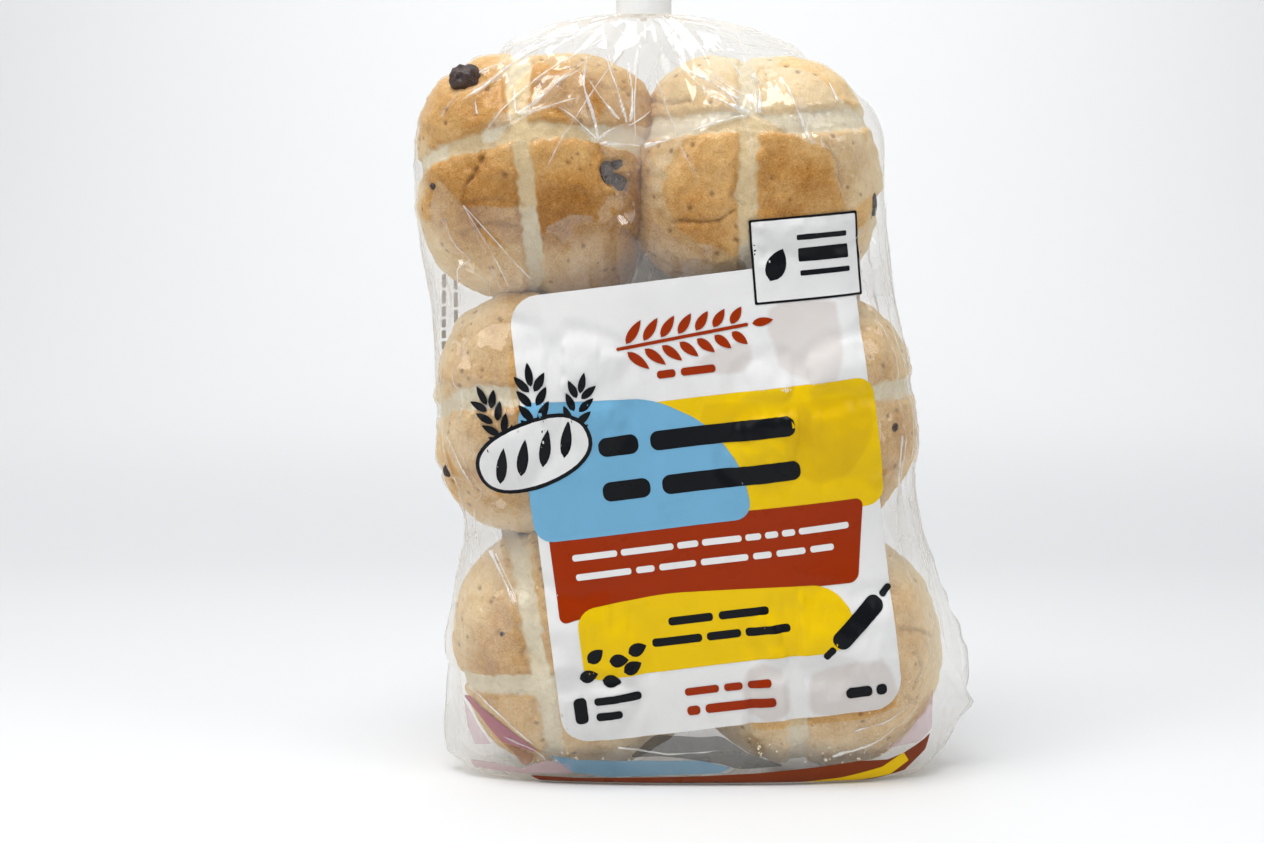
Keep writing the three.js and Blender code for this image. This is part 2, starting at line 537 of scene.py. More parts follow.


# %% [markdown]
# ## Crosses and crust
#
# The paste bands hold the dough back while it rises, so each quarter of the bun swells up beside them like a
# pillow. The band itself lies low, with soft uneven edges. Three numbers are kept for each point: how much of
# it is paste, how dark it baked, and how deep in a pore or crack it lies. The second also holds painted shade
# along the line where a bun touches its neighbour and a painted highlight on one top, and the material paints
# the third as shade.

# %% Cross, crust and pores
BAND_HALF_WIDTH = 3.4
BAND_EDGE = 2.8
PILLOW = 2.3
PILLOW_SPREAD = 7.0
PORES = 90
CRACK_HALF_WIDTH = 1.1
GAP_SHADE = 5.0

# Each raisin: x, z, width, height, and how much of it shows. The crust dips round it.
RAISINS = [
    (-86.5, 268.0, 12.0, 11.0, 0.62), (-34.2, 234.0, 6.5, 9.0, 0.42), (-30.2, 230.5, 6.5, 6.5, 0.36),
    (-30.8, 237.0, 5.0, 4.0, 0.34), (-99.0, 229.0, 4.0, 3.0, 0.4), (67.0, 222.0, 3.0, 9.0, 0.4),
    (74.5, 138.5, 3.4, 3.4, 0.4), (-68.5, 94.5, 4.5, 3.0, 0.3), (-74.0, 60.0, 2.6, 2.2, 0.3),
    (-96.0, 120.0, 4.5, 5.0, 0.4),
]

# Each crack or deep wrinkle: how deep it is, and its points in x and z.
CRACKS = [
    (1.0, [(-8, 216.4), (-4.4, 217), (2, 216.2), (7.5, 216.8), (13, 220.5)]),
    (0.5, [(14, 232), (12, 226), (16, 222)]),
    (1.0, [(-79, 241), (-82, 235), (-86, 229.5)]),
    (0.5, [(-86, 229.5), (-88, 222), (-80, 224.5), (-73.9, 224.7), (-65, 222)]),
    (0.6, [(-88, 212), (-78, 216), (-68, 215)]),
    (0.9, [(-30.5, 213.5), (-27.5, 212.2), (-26, 210)]),
    (0.5, [(-44, 268), (-36, 264), (-30, 263)]),
    (0.8, [(-20, 262), (-12, 259), (-3, 260)]),
    (0.6, [(44, 246), (50, 238), (52, 228)]),
    (0.6, [(80, 52), (84, 45), (81, 38)]),
    (0.5, [(74, 62), (82, 60), (88, 56)]),
    (0.5, [(78, 36), (84, 31)]),
    (0.5, [(-78, 150), (-84, 143), (-86, 134)]),
    (0.6, [(-76, 40), (-70, 36), (-66, 38)]),
]

# Patches that browned more: x, z, how far they spread across and up, and how much browner they are.
BROWNED = [
    (28, 221, 13, 13, 0.20), (-6, 211, 13, 9, 0.20), (-2, 226, 7, 6, 0.10), (44, 214, 10, 8, 0.10),
    (-46, 222, 13, 9, 0.14), (-84, 232, 12, 10, 0.12), (-40, 262, 10, 8, 0.08), (-84, 250, 8, 10, 0.08),
    (-82, 118, 12, 10, 0.16), (-78, 40, 16, 12, 0.22), (-62, 66, 9, 10, 0.08), (78, 24, 9, 9, 0.16),
    (68, 118, 8, 12, 0.08),
]


def band_distance(right, up, points, spec, seed):
    """How far each point is from the edge of the nearer band, negative on the band."""
    right, up = right - spec["cross"][0], up - spec["cross"][1]
    level_slant, upright_slant = spec["slants"]
    level_slant = np.where(right < 0, spec.get("left_slant", level_slant), level_slant)
    ways = (right + math.tan(math.radians(upright_slant)) * up, up - np.tan(np.radians(level_slant)) * right)
    upright, level = (
        np.abs(way + lumps(points, 22, seed + 2 * index))
        - BAND_HALF_WIDTH * (1 + 0.22 * lumps(points, 15, seed + 2 * index + 1))
        for index, way in enumerate(ways)
    )
    level = np.maximum(level, right - spec.get("right_arm", 99))
    return np.minimum(upright, level) + 0.45 * lumps(points, 2.2, seed + 4)


def dips(points, front):
    """How deep the crust dips round the raisins, with a low rim, and how far each point is in a crack."""
    dip, crack = np.zeros(len(points)), np.zeros(len(points))
    for x, z, width, height, shown in RAISINS:
        far = np.hypot((points[:, 0] - x) / width, (points[:, 2] - z) / height) * 2
        rim = np.exp(-((far - 1.45) / 0.35) ** 2)
        dip += (1 - shown) * 0.32 * height * (np.exp(-(far / 0.95) ** 4) - 0.35 * rim)
    rough = 0.3 * lumps(points, 1.6, 55)
    for depth, line in CRACKS:
        for start, end in zip(line, line[1:]):
            far = off_stroke(points[:, [0, 2]], np.array(start), np.array(end)) + rough
            crack = np.maximum(crack, depth * smooth(CRACK_HALF_WIDTH, 0, far))
    return dip * front, crack * front


def pores(points, out, seed):
    """How deep each point lies in one of the pores scattered over the crown."""
    pit = np.zeros(len(points))
    crowd = crowd_of(points)
    chance = np.random.default_rng(seed)
    for centre in chance.choice(np.flatnonzero(out > 0), PORES, replace=False):
        size = chance.uniform(0.6, 1.3)
        for _, index, gap in crowd.find_range(points[centre], size):
            pit[index] = max(pit[index], 1 - (gap / size) ** 2)
    return pit


def make_bun(name, spec, seed):
    """One bun in its place, with its cross and crust."""
    bun, ball = ball_of_dough(name)
    right, up, out = baked_shape(ball, spec["width"], spec["rise"], spec["squareness"])
    forward = np.maximum(out, 0)
    points = np.stack([
        spec["x"] + right + spec["sag"][0] * forward,
        WIDEST_Y - out,
        spec["z"] + up + spec["sag"][1] * forward,
    ], 1)
    press_flat(points, *spec["touch"])
    put_points(bun, points)

    facing = take_normals(bun)
    front = smooth(-12, 4, out)
    band = band_distance(right, up, points, spec, seed)
    paste = smooth(BAND_EDGE / 2, -BAND_EDGE / 2, band) * front
    pillow = (1 - np.exp(-np.maximum(band, 0) / PILLOW_SPREAD)) * front
    rim = np.exp(-((band - 1.9) / 1.3) ** 2)
    swell = (PILLOW * pillow + (0.9 * smooth(-0.3, 1.1, band) + 0.35 * rim) * front
             + 1.3 * lumps(points, 26, seed + 5) + 0.55 * lumps(points, 9, seed + 6))
    patchy = smooth(0.1, 0.9, lumps(points, 16, seed + 7))
    wrinkle = creased(points, 4.5, seed + 8) - 0.5
    grain = lumps(points, 1.3, seed + 9)
    peel = lumps(points, 3.2, seed + 13)
    swell += (1 - paste) * (0.55 * patchy * wrinkle + 0.20 * peel + 0.10 * grain)
    swell += paste * (0.14 * grain + 0.12 * peel)
    pit = pores(points, out, seed + 10)
    dip, crack = dips(points, front)
    swell -= 0.4 * pit + dip + 1.1 * crack
    # Cracks and the dips round the raisins join the pores only so that the material paints them dark: painted
    # shade.
    pit = np.maximum(pit, np.minimum(1, 0.6 * crack + 0.25 * np.maximum(dip, 0)))

    points += facing * swell[:, None]
    points[:, 2] = np.maximum(points[:, 2], FOOT_LIFT)
    put_points(bun, points)
    height = out / CROWN_DEPTH
    beside = points[:, 0] - touch_line(points, *spec["touch"][1:])
    # The bake also carries painted shade, darker along the line where the bun touches its neighbour, and on
    # one bun a painted highlight that makes the top of its crown paler.
    bake = (0.14 + 0.38 * smooth(0.0, 0.95, height) + 0.07 * pillow
            + 0.09 * lumps(points, 20, seed + 11) + 0.05 * lumps(points, 7, seed + 12)
            + spec["bake"] + 0.35 * np.exp(-np.abs(beside) / GAP_SHADE)
            - spec.get("painted_top_light", 0) * smooth(20, 34, up))
    for x, z, across, rise, amount in BROWNED:
        far = ((points[:, 0] - x) / across) ** 2 + ((points[:, 2] - z) / rise) ** 2
        bake += amount * np.exp(-0.5 * far)
    bake += (0.68 - bake) * smooth(-0.40, -0.50, height)
    put_values(bun, paste=paste, bake=bake, pit=pit)
    return bun


buns = [make_bun(name, spec, 100 * (index + 1)) for index, (name, spec) in enumerate(BUNS.items())]

# %% [markdown]
# ## Baked colour
#
# Crust is brown because it is baked, so its colour follows the shape: dark on the crown and tan down the
# sides. Along the line where a bun touches its neighbour it is painted darker, which is painted shade in the
# gap, and the top of one crown is painted paler, which is a painted highlight. Pores, cracks and the dips
# round the raisins are painted dark too, as painted shade. Noise at four scales breaks it up, from blotches
# down to the fine grain of flour, and drives the roughness and a slight bump too.

# %% Crust and paste
def crust_material():
    """Golden crust with pale paste bands, painted shade in its pores and cracks, dark specks and a dull
    sheen.
    """
    mix = recipe("crust")
    blotch, mottle = mix.noise(14, 2), mix.noise(3.2, 4, 0.6)
    grain, flour = mix.noise(0.7, 3, 0.6), mix.noise(0.28, 2, 0.6)
    bake = mix.kept("bake")
    for uneven, share in ((blotch, 0.30), (mottle, 0.42), (grain, 0.55), (flour, 0.35)):
        bake = (uneven - 0.5) * share + bake
    crust = mix.ramp(
        bake.clamped(), (0.0, (0.90, 0.76, 0.51)), (0.3, (0.83, 0.615, 0.335)), (0.6, (0.64, 0.385, 0.145)),
        (0.8, (0.47, 0.235, 0.056)), (1.0, (0.29, 0.12, 0.024)))
    place = mix.node("TexCoord", "Object")
    speck = mix.node("TexVoronoi", "Distance", Vector=place, Scale=1 / (2.6 * MM), Randomness=1.0)
    specks = mix.step(speck, 0.16, 0.08) * (mix.step(mottle, 0.52, 0.66) * 0.55)
    # Pores, cracks and raisin dips are painted dark brown, which is painted shade in them; the specks are
    # dark flecks of the crust itself.
    crust = mix.blend((mix.kept("pit") * 0.75).at_least(specks), crust, (0.16, 0.06, 0.018, 1))

    paste = mix.ramp(
        mottle * 0.6 + grain * 0.5,
        (0.30, (0.66, 0.55, 0.36)), (0.52, (0.80, 0.70, 0.50)), (0.75, (0.88, 0.80, 0.62)))
    edge = mix.step((mottle - 0.5) * 0.5 + mix.kept("paste"), 0.12, 0.88)
    rough = mix.kept("paste") * 0.2 + (mottle * 0.25 + 0.45)
    relief = mix.bump(grain * 0.6 + mottle, 1.0, 0.7)
    return mix.paint(mix.blend(edge, crust, paste), rough, relief, specular=0.18)


crust = crust_material()
for bun in buns:
    finish(bun, "crust", crust)

# %% [markdown]
# ## The film bag
#
# The bag is one sheet of thin film, formed into a tube, folded shut at the base and gathered at the neck.
# So it starts as a flat grid. Each column becomes a line up the bag and each row a ring round it, and the
# two side edges are merged at the back. The rings are superellipses: flat ovals whose corners can be made
# rounder or squarer. Over the front and the shoulders, where the creases are, the grid is denser.

# %% Rings of the bag
ROW_Z = np.array([48.5, 139.5, 230.5])
ROW_X = np.array([1.1, -8.4, -17.9])
ROW_HALF_WIDTH = np.array([94.6, 91.5, 89.7])
WAIST = 0.6
LEFT_PINCH = 6.5
LEFT_PINCH_Z = 102
LEFT_PINCH_SPREAD = 14
HALF_DEPTH = 29
MIDDLE_Y = bag_high[1] - HALF_DEPTH
BASE_INSET = 9
BASE_ROUND = 13
SHOULDER_Z = 245
SHOULDER_SQUARENESS = 1.8
NECK_Z = tape_low[2] - 0.3
NECK_X = tape_low[0] + 10.5
NECK_RADIUS = 9.0
FRONT_SQUARENESS = 2.5
BACK_SQUARENESS = 3.4


def between_rows(values, z):
    """Blends a value given for each row of buns smoothly up the bag."""
    place = np.clip((z - ROW_Z[0]) / (ROW_Z[1] - ROW_Z[0]), 0, 2)
    below = np.minimum(1, np.floor(place)).astype(int)
    return values[below] + smooth(0, 1, place - below) * (values[below + 1] - values[below])


def ring(z, shares):
    """Points of the bag's ring at one height, at these shares of the way round from the back."""
    up = np.clip((z - SHOULDER_Z) / (NECK_Z - SHOULDER_Z), 0, 1)
    swell = (1 - up ** SHOULDER_SQUARENESS) ** (1 / SHOULDER_SQUARENESS)
    low = np.clip(1 - z / BASE_ROUND, 0, 1)
    inset = BASE_INSET * (1 - math.sqrt(1 - low * low))
    pinch = WAIST * (1 - math.cos(2 * math.pi * (z - ROW_Z[0]) / (ROW_Z[1] - ROW_Z[0]))) * (48 < z < 231)
    half = between_rows(ROW_HALF_WIDTH, z) - pinch - inset
    left_pinch = LEFT_PINCH * math.exp(-0.5 * ((z - LEFT_PINCH_Z) / LEFT_PINCH_SPREAD) ** 2)
    half_width = NECK_RADIUS + (half - left_pinch / 2 - NECK_RADIUS) * swell
    middle_x = NECK_X + (between_rows(ROW_X, z) + left_pinch / 2 - NECK_X) * swell
    half_depth = NECK_RADIUS + (HALF_DEPTH - inset - NECK_RADIUS) * swell
    turn = np.linspace(0, 2 * math.pi, 1441)
    side, back = -np.sin(turn), np.cos(turn)
    square = 2 + (np.where(back > 0, BACK_SQUARENESS, FRONT_SQUARENESS) - 2) * swell
    x = middle_x + half_width * np.sign(side) * np.abs(side) ** (2 / square)
    y = MIDDLE_Y + half_depth * np.sign(back) * np.abs(back) ** (2 / square)
    way = walked(np.hypot(np.diff(x), np.diff(y)))
    way /= way[-1]
    return np.stack([np.interp(shares, way, x), np.interp(shares, way, y), np.full(len(shares), z)], 1)


# %% A flat sheet becomes the bag
COLUMNS = 104
BASE_RINGS = 3
ROUND_RINGS = 3
LOWER_RINGS = 21
UPPER_RINGS = 15
SHOULDER_RINGS = 16
UPPER_Z = 185
FRONT_DENSITY = 1.9

# The rings stand closer together towards the shoulders, and the columns over the front.
heights = np.concatenate([
    BASE_ROUND * (1 - np.cos(np.linspace(0, math.pi / 2, ROUND_RINGS + 1)[:-1])),
    np.linspace(BASE_ROUND, UPPER_Z, LOWER_RINGS + 1)[:-1],
    np.linspace(UPPER_Z, SHOULDER_Z, UPPER_RINGS + 1)[:-1],
    SHOULDER_Z + (NECK_Z - SHOULDER_Z) * np.sin(np.linspace(0, math.pi / 2, SHOULDER_RINGS + 1)),
    [NECK_Z + 5],
])
fine = np.linspace(0, 1, 2001)
density = 1 + (FRONT_DENSITY - 1) * smooth(0.24, 0.16, np.abs(fine - 0.5))
density = walked((density[1:] + density[:-1]) / 2)
shares = np.interp(np.linspace(0, 1, COLUMNS + 1), density / density[-1], fine)

rings = [ring(z, shares) for z in heights]
base_line = rings[0].copy()
base_line[:, 1] = MIDDLE_Y
rings = [base_line + (rings[0] - base_line) * step / BASE_RINGS for step in range(BASE_RINGS)] + rings

film, column, level = grid("film", COLUMNS, len(rings) - 1)
put_points(film, np.array(rings)[level, column])
round_turn = 2 * math.pi * shares[column]
put_values(film, round_cos=np.cos(round_turn), round_sin=np.sin(round_turn))
close_seam(film)
print("the bag has", len(rings), "rings and", len(film.data.polygons), "faces")

# %% [markdown]
# ## Drawing the film tight
#
# Film that is pulled tight touches the crowns and runs straight across the valleys between them. Smoothing
# a mesh does the same to it as tension does to film, so the front is smoothed a little, every point that
# has sunk into a bun is put back on its crust, and both are repeated. Where the film ends up within a hair
# of the crust it clings, and that patch looks wet.

# %% Draw the film over the buns
CLING_GAP = 0.35
FACE_GAP = 0.3
CLING_REACH = 1.9
CLING_EDGE = 2.4
TIGHTEN_ROUNDS = 8
SMOOTH_STEPS = 8
SIDE_MARGIN = 9
PRINT_MIDDLE = (3.5, 110.9)
PRINT_TURN = 7.0
block = join([copy_of(bun, "bun_block") for bun in buns], "bun_block")
block_surface = surface_of(block)


def gaps_to_buns(points):
    """How far outside the nearest crust each point is, negative inside it, and the way out."""
    gaps = np.empty(len(points))
    ways = np.empty((len(points), 3))
    for index, point in enumerate(points * MM):
        nearest, normal, _, distance = block_surface.find_nearest(point)
        away = Vector(point) - nearest
        inside = away.dot(normal) < 0
        gaps[index] = (-distance if inside else distance) / MM
        ways[index] = normal if inside or distance < 1e-7 else away / distance
    return gaps, ways


def keep_outside(piece):
    """Puts points that are in a bun, or too near to it, back outside it."""
    points = take_points(piece)
    gaps, ways = gaps_to_buns(points)
    put_points(piece, points + ways * np.maximum(CLING_GAP - gaps, 0)[:, None])


def lift_faces(piece):
    """Lifts the faces whose middles dip too near to a crust, though their corners don't."""
    corners = read(piece.data.loops, "vertex_index", 1).astype(int).reshape(-1, 4)
    points = take_points(piece)
    gaps, _ = gaps_to_buns(points[corners].mean(1))
    lift = np.zeros(len(points))
    for corner in corners.T:
        np.maximum.at(lift, corner, np.maximum(FACE_GAP - gaps, 0))
    put_points(piece, points + take_normals(piece) * lift[:, None])


def on_panel(points):
    """1 where the white panel is printed, which stiffens the film, and 0 away from it."""
    along = turned(points[:, 0] - PRINT_MIDDLE[0], points[:, 2] - PRINT_MIDDLE[1], -PRINT_TURN)
    aside = np.abs(along) - (62, 84)
    return smooth(4, -4, aside.max(1)) * (points[:, 1] < MIDDLE_Y)


def cling(piece):
    """Draws the film onto the crust wherever it is already near, in patches with crisp edges."""
    points = take_points(piece)
    gaps, ways = gaps_to_buns(points)
    reach = CLING_REACH * (1 + 0.55 * lumps(points, 17, 71) + 0.25 * lumps(points, 6, 72))
    reach *= 1 - 0.7 * on_panel(points)
    held = smooth(reach + CLING_EDGE, reach, gaps) * (points[:, 2] > 6)
    held *= smooth(0.80, 0.50, np.abs(take_normals(piece)[:, 0]))
    put_points(piece, points - ways * (held * np.maximum(gaps - CLING_GAP, 0))[:, None])


# The front and the back are drawn tight, but not the sides, the base and the neck.
x, _, z = take_points(film).T
inner = np.abs(x - between_rows(ROW_X, z)) < between_rows(ROW_HALF_WIDTH, z) - SIDE_MARGIN
pick(film, "VERT", inner & (z > 5) & (z < 278))
for _ in range(TIGHTEN_ROUNDS):
    with editing(film, None):
        bpy.ops.mesh.vertices_smooth(factor=0.5, repeat=SMOOTH_STEPS)
    keep_outside(film)
apply_modifier(film, "SUBSURF", levels=2, render_levels=2)
keep_outside(film)
cling(film)
print("the film has", len(film.data.vertices), "points")

# %% [markdown]
# ## Folds and creases
#
# Thin film doesn't stretch, so wherever it has to narrow it folds. Its two bottom corners stand out as flat
# flaps. Pleats run up the shoulders into the neck. And where a finger has pushed it, two or three sharp
# creases meet in a point, which makes crumpled film look like film and not like cloth. The creases are
# drawn as lines on one side of the bag, thrown onto the film, and raised as sharp little ridges.

# %% Corner flaps and shoulder pleats
LEFT_FLAP = dict(reach=6.5, peak=8)
RIGHT_FLAP = dict(reach=15.0, peak=27)
FLAP_TOP = 100
FLAP_FOOT = 1.0
FLAP_HALF_THICKNESS = 3.2
PLEAT_COUNT = 13
PLEAT_DEPTH = 2.6
CRUMPLE_DEPTH = 1.1
UPRIGHT = np.array([1, 1, 0.3])


def flap_reach(z, reach, peak):
    """How far a bottom corner stands out at a height."""
    share = np.minimum((FLAP_TOP - z) / (FLAP_TOP - peak), (z - FLAP_FOOT) / (peak - FLAP_FOOT))
    return reach * np.clip(share, 0, 1) ** 1.1


def fold_film(piece):
    """Adds the bottom flaps, the pleats into the neck, and a crumple wherever the film hangs free."""
    points = take_points(piece)
    facing = take_normals(piece)
    gaps, _ = gaps_to_buns(points)
    x, y, z = points.T
    flap = np.where(x > between_rows(ROW_X, z), flap_reach(z, **RIGHT_FLAP), -flap_reach(z, **LEFT_FLAP))
    outer = smooth(0.4, 0.9, np.abs(facing[:, 0]))
    shift = flap * np.exp(-np.abs(y - MIDDLE_Y + 2 * lumps(points, 30, 80)) / FLAP_HALF_THICKNESS) * outer

    around = np.stack([take_values(piece, "round_cos"), take_values(piece, "round_sin")], 1)
    climb = np.clip((z - SHOULDER_Z) / (NECK_Z - SHOULDER_Z), 0, 1)
    radius = np.hypot(x - NECK_X, y - MIDDLE_Y)
    along = np.column_stack([around * PLEAT_COUNT / math.pi, climb * 0.8])
    fine = np.column_stack([around * PLEAT_COUNT * 2.3 / math.pi, climb * 1.5])
    pleat = 0.7 * (creased(along, 1, 81) - 0.5) + 0.16 * (creased(fine, 1, 82) - 0.5)
    pleat *= PLEAT_DEPTH * smooth(0.25, 0.8, climb) * smooth(5, 30, radius + 12)

    free = smooth(0.8, 7, gaps) * (1 - 0.75 * on_panel(points))
    hung = points * UPRIGHT
    crumple = 0.8 * (creased(hung, 15, 83) - 0.6) + 0.10 * (creased(hung, 6, 84) - 0.6)
    crumple *= (1 - 0.55 * outer) * CRUMPLE_DEPTH * free * smooth(4, 14, z) * smooth(292, 284, z)
    points += facing * (pleat + crumple)[:, None]
    points[:, 0] += shift
    put_points(piece, points)
    keep_outside(piece)


fold_film(film)

# %% Creases
CREASE_STEP = 0.45
CREASE_BREADTH = 3.0
CREASE_BEND = 9
FOOT_Z = 0.2
VIEWS = {
    "front": Vector((0, 1, 0)), "back": Vector((0, -1, 0)),
    "left": Vector((1, 0, 0)), "right": Vector((-1, 0, 0)),
}

# Each crease: its height and half width, and its points in x and z. All of them are seen from the front.
PINCHES = [
    # The pinch at the left of the gap between the top buns, and the one above it.
    (1.2, 0.55, [(-37, 245.8), (-39.5, 256.7), (-42.2, 263.1), (-42.9, 268.5), (-40.9, 278.4)]),
    (1.0, 0.5, [(-37, 245.8), (-42, 250.4), (-48.4, 256.2), (-52.6, 258.5)]),
    (1.0, 0.5, [(-37, 246), (-32.9, 249.9), (-27, 252.2)]),
    (1.1, 0.55, [(-36.5, 244.9), (-28.3, 244.4), (-19.6, 243.5)]),
    (1.1, 0.55, [(-26.7, 252.4), (-29.9, 263.6), (-33.6, 274.1), (-35, 279.1)]),
    (1.1, 0.5, [(-25.5, 252.7), (-24.1, 260.3), (-25.2, 267.2), (-26.3, 276)]),
    (1.0, 0.5, [(-29.2, 253.5), (-33.8, 258.5), (-41.6, 269)]),
    (0.8, 0.5, [(-26, 251.3), (-21.9, 253.1), (-17.3, 257.2)]),
    # The long crease over the right bun, and the pinches at its end.
    (1.3, 0.6, [(-19.7, 243.6), (-7.6, 247.4), (1.5, 250.9), (12.9, 254.2), (21, 255.4)]),
    (1.1, 0.5, [(22.1, 256), (22.5, 265.5), (20.5, 272)]),
    (0.9, 0.5, [(21, 256.2), (19.9, 269.1)]),
    (1.0, 0.5, [(19.9, 269.6), (23.6, 266.5), (27.5, 264.5)]),
    (0.9, 0.5, [(27.5, 264.5), (25.1, 270.7)]),
    (1.1, 0.5, [(14.7, 260.8), (6.9, 266), (0.6, 269.6), (-8, 272)]),
    (0.8, 0.5, [(16, 262.5), (8.6, 267.5), (1.8, 271.2)]),
    (0.9, 0.5, [(15.7, 269.6), (10.5, 275.9), (5.8, 283.4)]),
    (1.3, 0.6, [(18.4, 256), (11.6, 258.8), (7.4, 260.8), (0, 263.5)]),
    (1.3, 0.6, [(41.9, 244.7), (39, 249.5), (36, 256), (34.5, 261.8), (30, 270)]),
    (0.9, 0.5, [(51.3, 260.8), (48.1, 268.1)]),
    # Over the top left bun.
    (1.0, 0.5, [(-67.3, 255.6), (-68.7, 265.8)]),
    (1.2, 0.55, [(-66.9, 255.3), (-62.9, 257.4), (-54, 265.4), (-48.9, 269.7), (-42.3, 272.6)]),
    (1.1, 0.55, [(-65.8, 255.6), (-59.9, 256.7), (-51.1, 259.6), (-43.8, 261.8)]),
    (0.8, 0.5, [(-81.5, 255.6), (-82.6, 261.8)]),
    (1.2, 0.6, [(-87.4, 261.1), (-80.4, 264.7), (-73, 271.2), (-65.7, 277), (-51.1, 284.1)]),
    (0.8, 0.5, [(-95.8, 254.5), (-92.1, 260.3), (-88.4, 264.7)]),
    (0.9, 0.5, [(-82.5, 270.8), (-69.3, 276.2)]),
    (0.8, 0.5, [(-61.4, 256), (-65.8, 253.8), (-73.2, 249.5)]),
    # The pinch low on the top left bun, fanning down to the print.
    (0.75, 0.6, [(-87.3, 221.8), (-80.1, 209.3), (-73.5, 197.5), (-69.2, 188.7)]),
    (0.75, 0.6, [(-87.3, 221.8), (-81.5, 215.9), (-73.5, 206.4), (-59.5, 191.2)]),
    (0.5, 0.6, [(-84.4, 215.9), (-78.7, 201.2), (-72.5, 187.2)]),
    # Left of the print.
    (1.1, 0.7, [(-95.9, 134.7), (-91.9, 126.8), (-87.5, 118.5), (-83.8, 112.5)]),
    (0.9, 0.7, [(-84.6, 106.8), (-85.5, 93.6), (-87.1, 82.2)]),
    (0.9, 0.7, [(-88, 104.9), (-90.8, 89.8), (-93.5, 74.6), (-94.8, 59.3)]),
    (1.2, 0.6, [(-78.8, 91.3), (-74.3, 82.2), (-69.9, 73), (-68, 70)]),
    (0.9, 0.5, [(-76.5, 90.3), (-72.1, 81.2), (-67, 70.7)]),
    # Right of the print: two upright folds side by side, and the fold down to the corner.
    (1.1, 0.6, [(77.2, 135.1), (76.7, 120), (76.5, 104.9), (76.8, 86.7)]),
    (0.8, 0.5, [(78.6, 132.8), (78.1, 116.3), (77.9, 101.2)]),
    (1.1, 0.7, [(83.4, 123.8), (85.9, 104.9), (88.4, 89.8), (95.6, 59.3), (99.7, 43.9)]),
    (0.9, 0.6, [(80.9, 112.5), (85.3, 93.6), (90.1, 78.4), (91.9, 59.3)]),
    (0.9, 0.6, [(67, 221), (70.4, 196), (73, 180)]),
    # Along the bottom, where the film turns under.
    (1.1, 0.7, [(-88, 37), (-82.2, 33), (-71, 24.4), (-60.4, 13.7)]),
    (1.0, 0.6, [(-74.4, 18.4), (-71, 17.4), (-61.5, 13), (-57, 8.5)]),
    (1.0, 0.7, [(-92, 42), (-90, 28), (-87, 14)]),
    (0.9, 0.7, [(-30, 16), (-10, 13), (12, 15)]),
    (1.0, 0.7, [(52, 12), (70, 17), (84, 28), (92, 42)]),
    (0.9, 0.6, [(60, 22), (74, 26), (88, 36)]),
]


def side_creases():
    """Long upright folds down both narrow sides of the bag, as points in y and z."""
    chance = np.random.default_rng(90)
    for side in ("left", "right"):
        for y in np.linspace(MIDDLE_Y - 19, MIDDLE_Y + 18, 6):
            top, foot = chance.uniform(190, 262), chance.uniform(8, 90)
            line = list(zip(y + chance.normal(0, 1.0, 6).cumsum(), np.linspace(top, foot, 6)))
            yield side, chance.uniform(0.5, 1.1), chance.uniform(0.7, 1.2), line


def neck_creases():
    """Creases that run out from the neck over the shoulders, in front and behind."""
    chance = np.random.default_rng(91)
    for side, count in (("front", 10), ("back", 14)):
        for turn in np.linspace(math.radians(192), math.radians(348), count) + chance.normal(0, 0.04, count):
            start, length, bend = chance.uniform(10, 30), chance.uniform(22, 70), chance.normal(0, 0.16)
            line = []
            for share in (0, 0.33, 0.66, 1):
                far, way = start + length * share, turn + bend * share
                line.append((NECK_X + 1.25 * far * math.cos(way), NECK_Z - 4 + 0.8 * far * math.sin(way)))
            yield side, chance.uniform(0.4, 0.9), chance.uniform(0.4, 0.7), line


def back_creases():
    """Scattered pinches over the back: short creases that meet in a point."""
    chance = np.random.default_rng(92)
    for _ in range(16):
        x, z = chance.uniform(-80, 70), chance.uniform(18, 255)
        first = chance.uniform(0, 2 * math.pi)
        for turn in first + np.array([0, 1.1, 2.6]) + chance.normal(0, 0.3, 3):
            length = chance.uniform(10, 34)
            end = (x + length * math.cos(turn), z + length * math.sin(turn))
            yield "back", chance.uniform(0.35, 0.7), chance.uniform(0.5, 0.8), [(x, z), end]


def throw(side, line, surface):
    """Points close together along a crease, thrown onto the film, each with the share of the crease's
    length that it lies at, its place, and the way that the film faces there."""
    line = np.array(line)
    way = walked(np.hypot(*np.diff(line, axis=0).T))
    count = max(4, int(way[-1] / CREASE_STEP))
    shares = np.linspace(0, 1, count)
    across, up = (np.interp(shares * way[-1], way, line[:, axis]) for axis in (0, 1))
    across += 0.35 * lumps(np.column_stack([across, up]), 5, 93)
    reach = min(CREASE_BEND, count // 3)
    for values in (across, up):
        values[reach:-reach] = np.convolve(values, np.ones(2 * reach + 1) / (2 * reach + 1), "valid")
    view = VIEWS[side]
    thrown = []
    for share, a, b in zip(shares, across, up):
        place = Vector((a, 0, b)) if side in ("front", "back") else Vector((0, a, b))
        hit, facing, _, _ = surface.ray_cast((place - view * 200) * MM, view)
        if hit:
            thrown.append((share, np.array(hit) / MM, np.array(facing) * (-1 if facing.dot(view) > 0 else 1)))
    return thrown


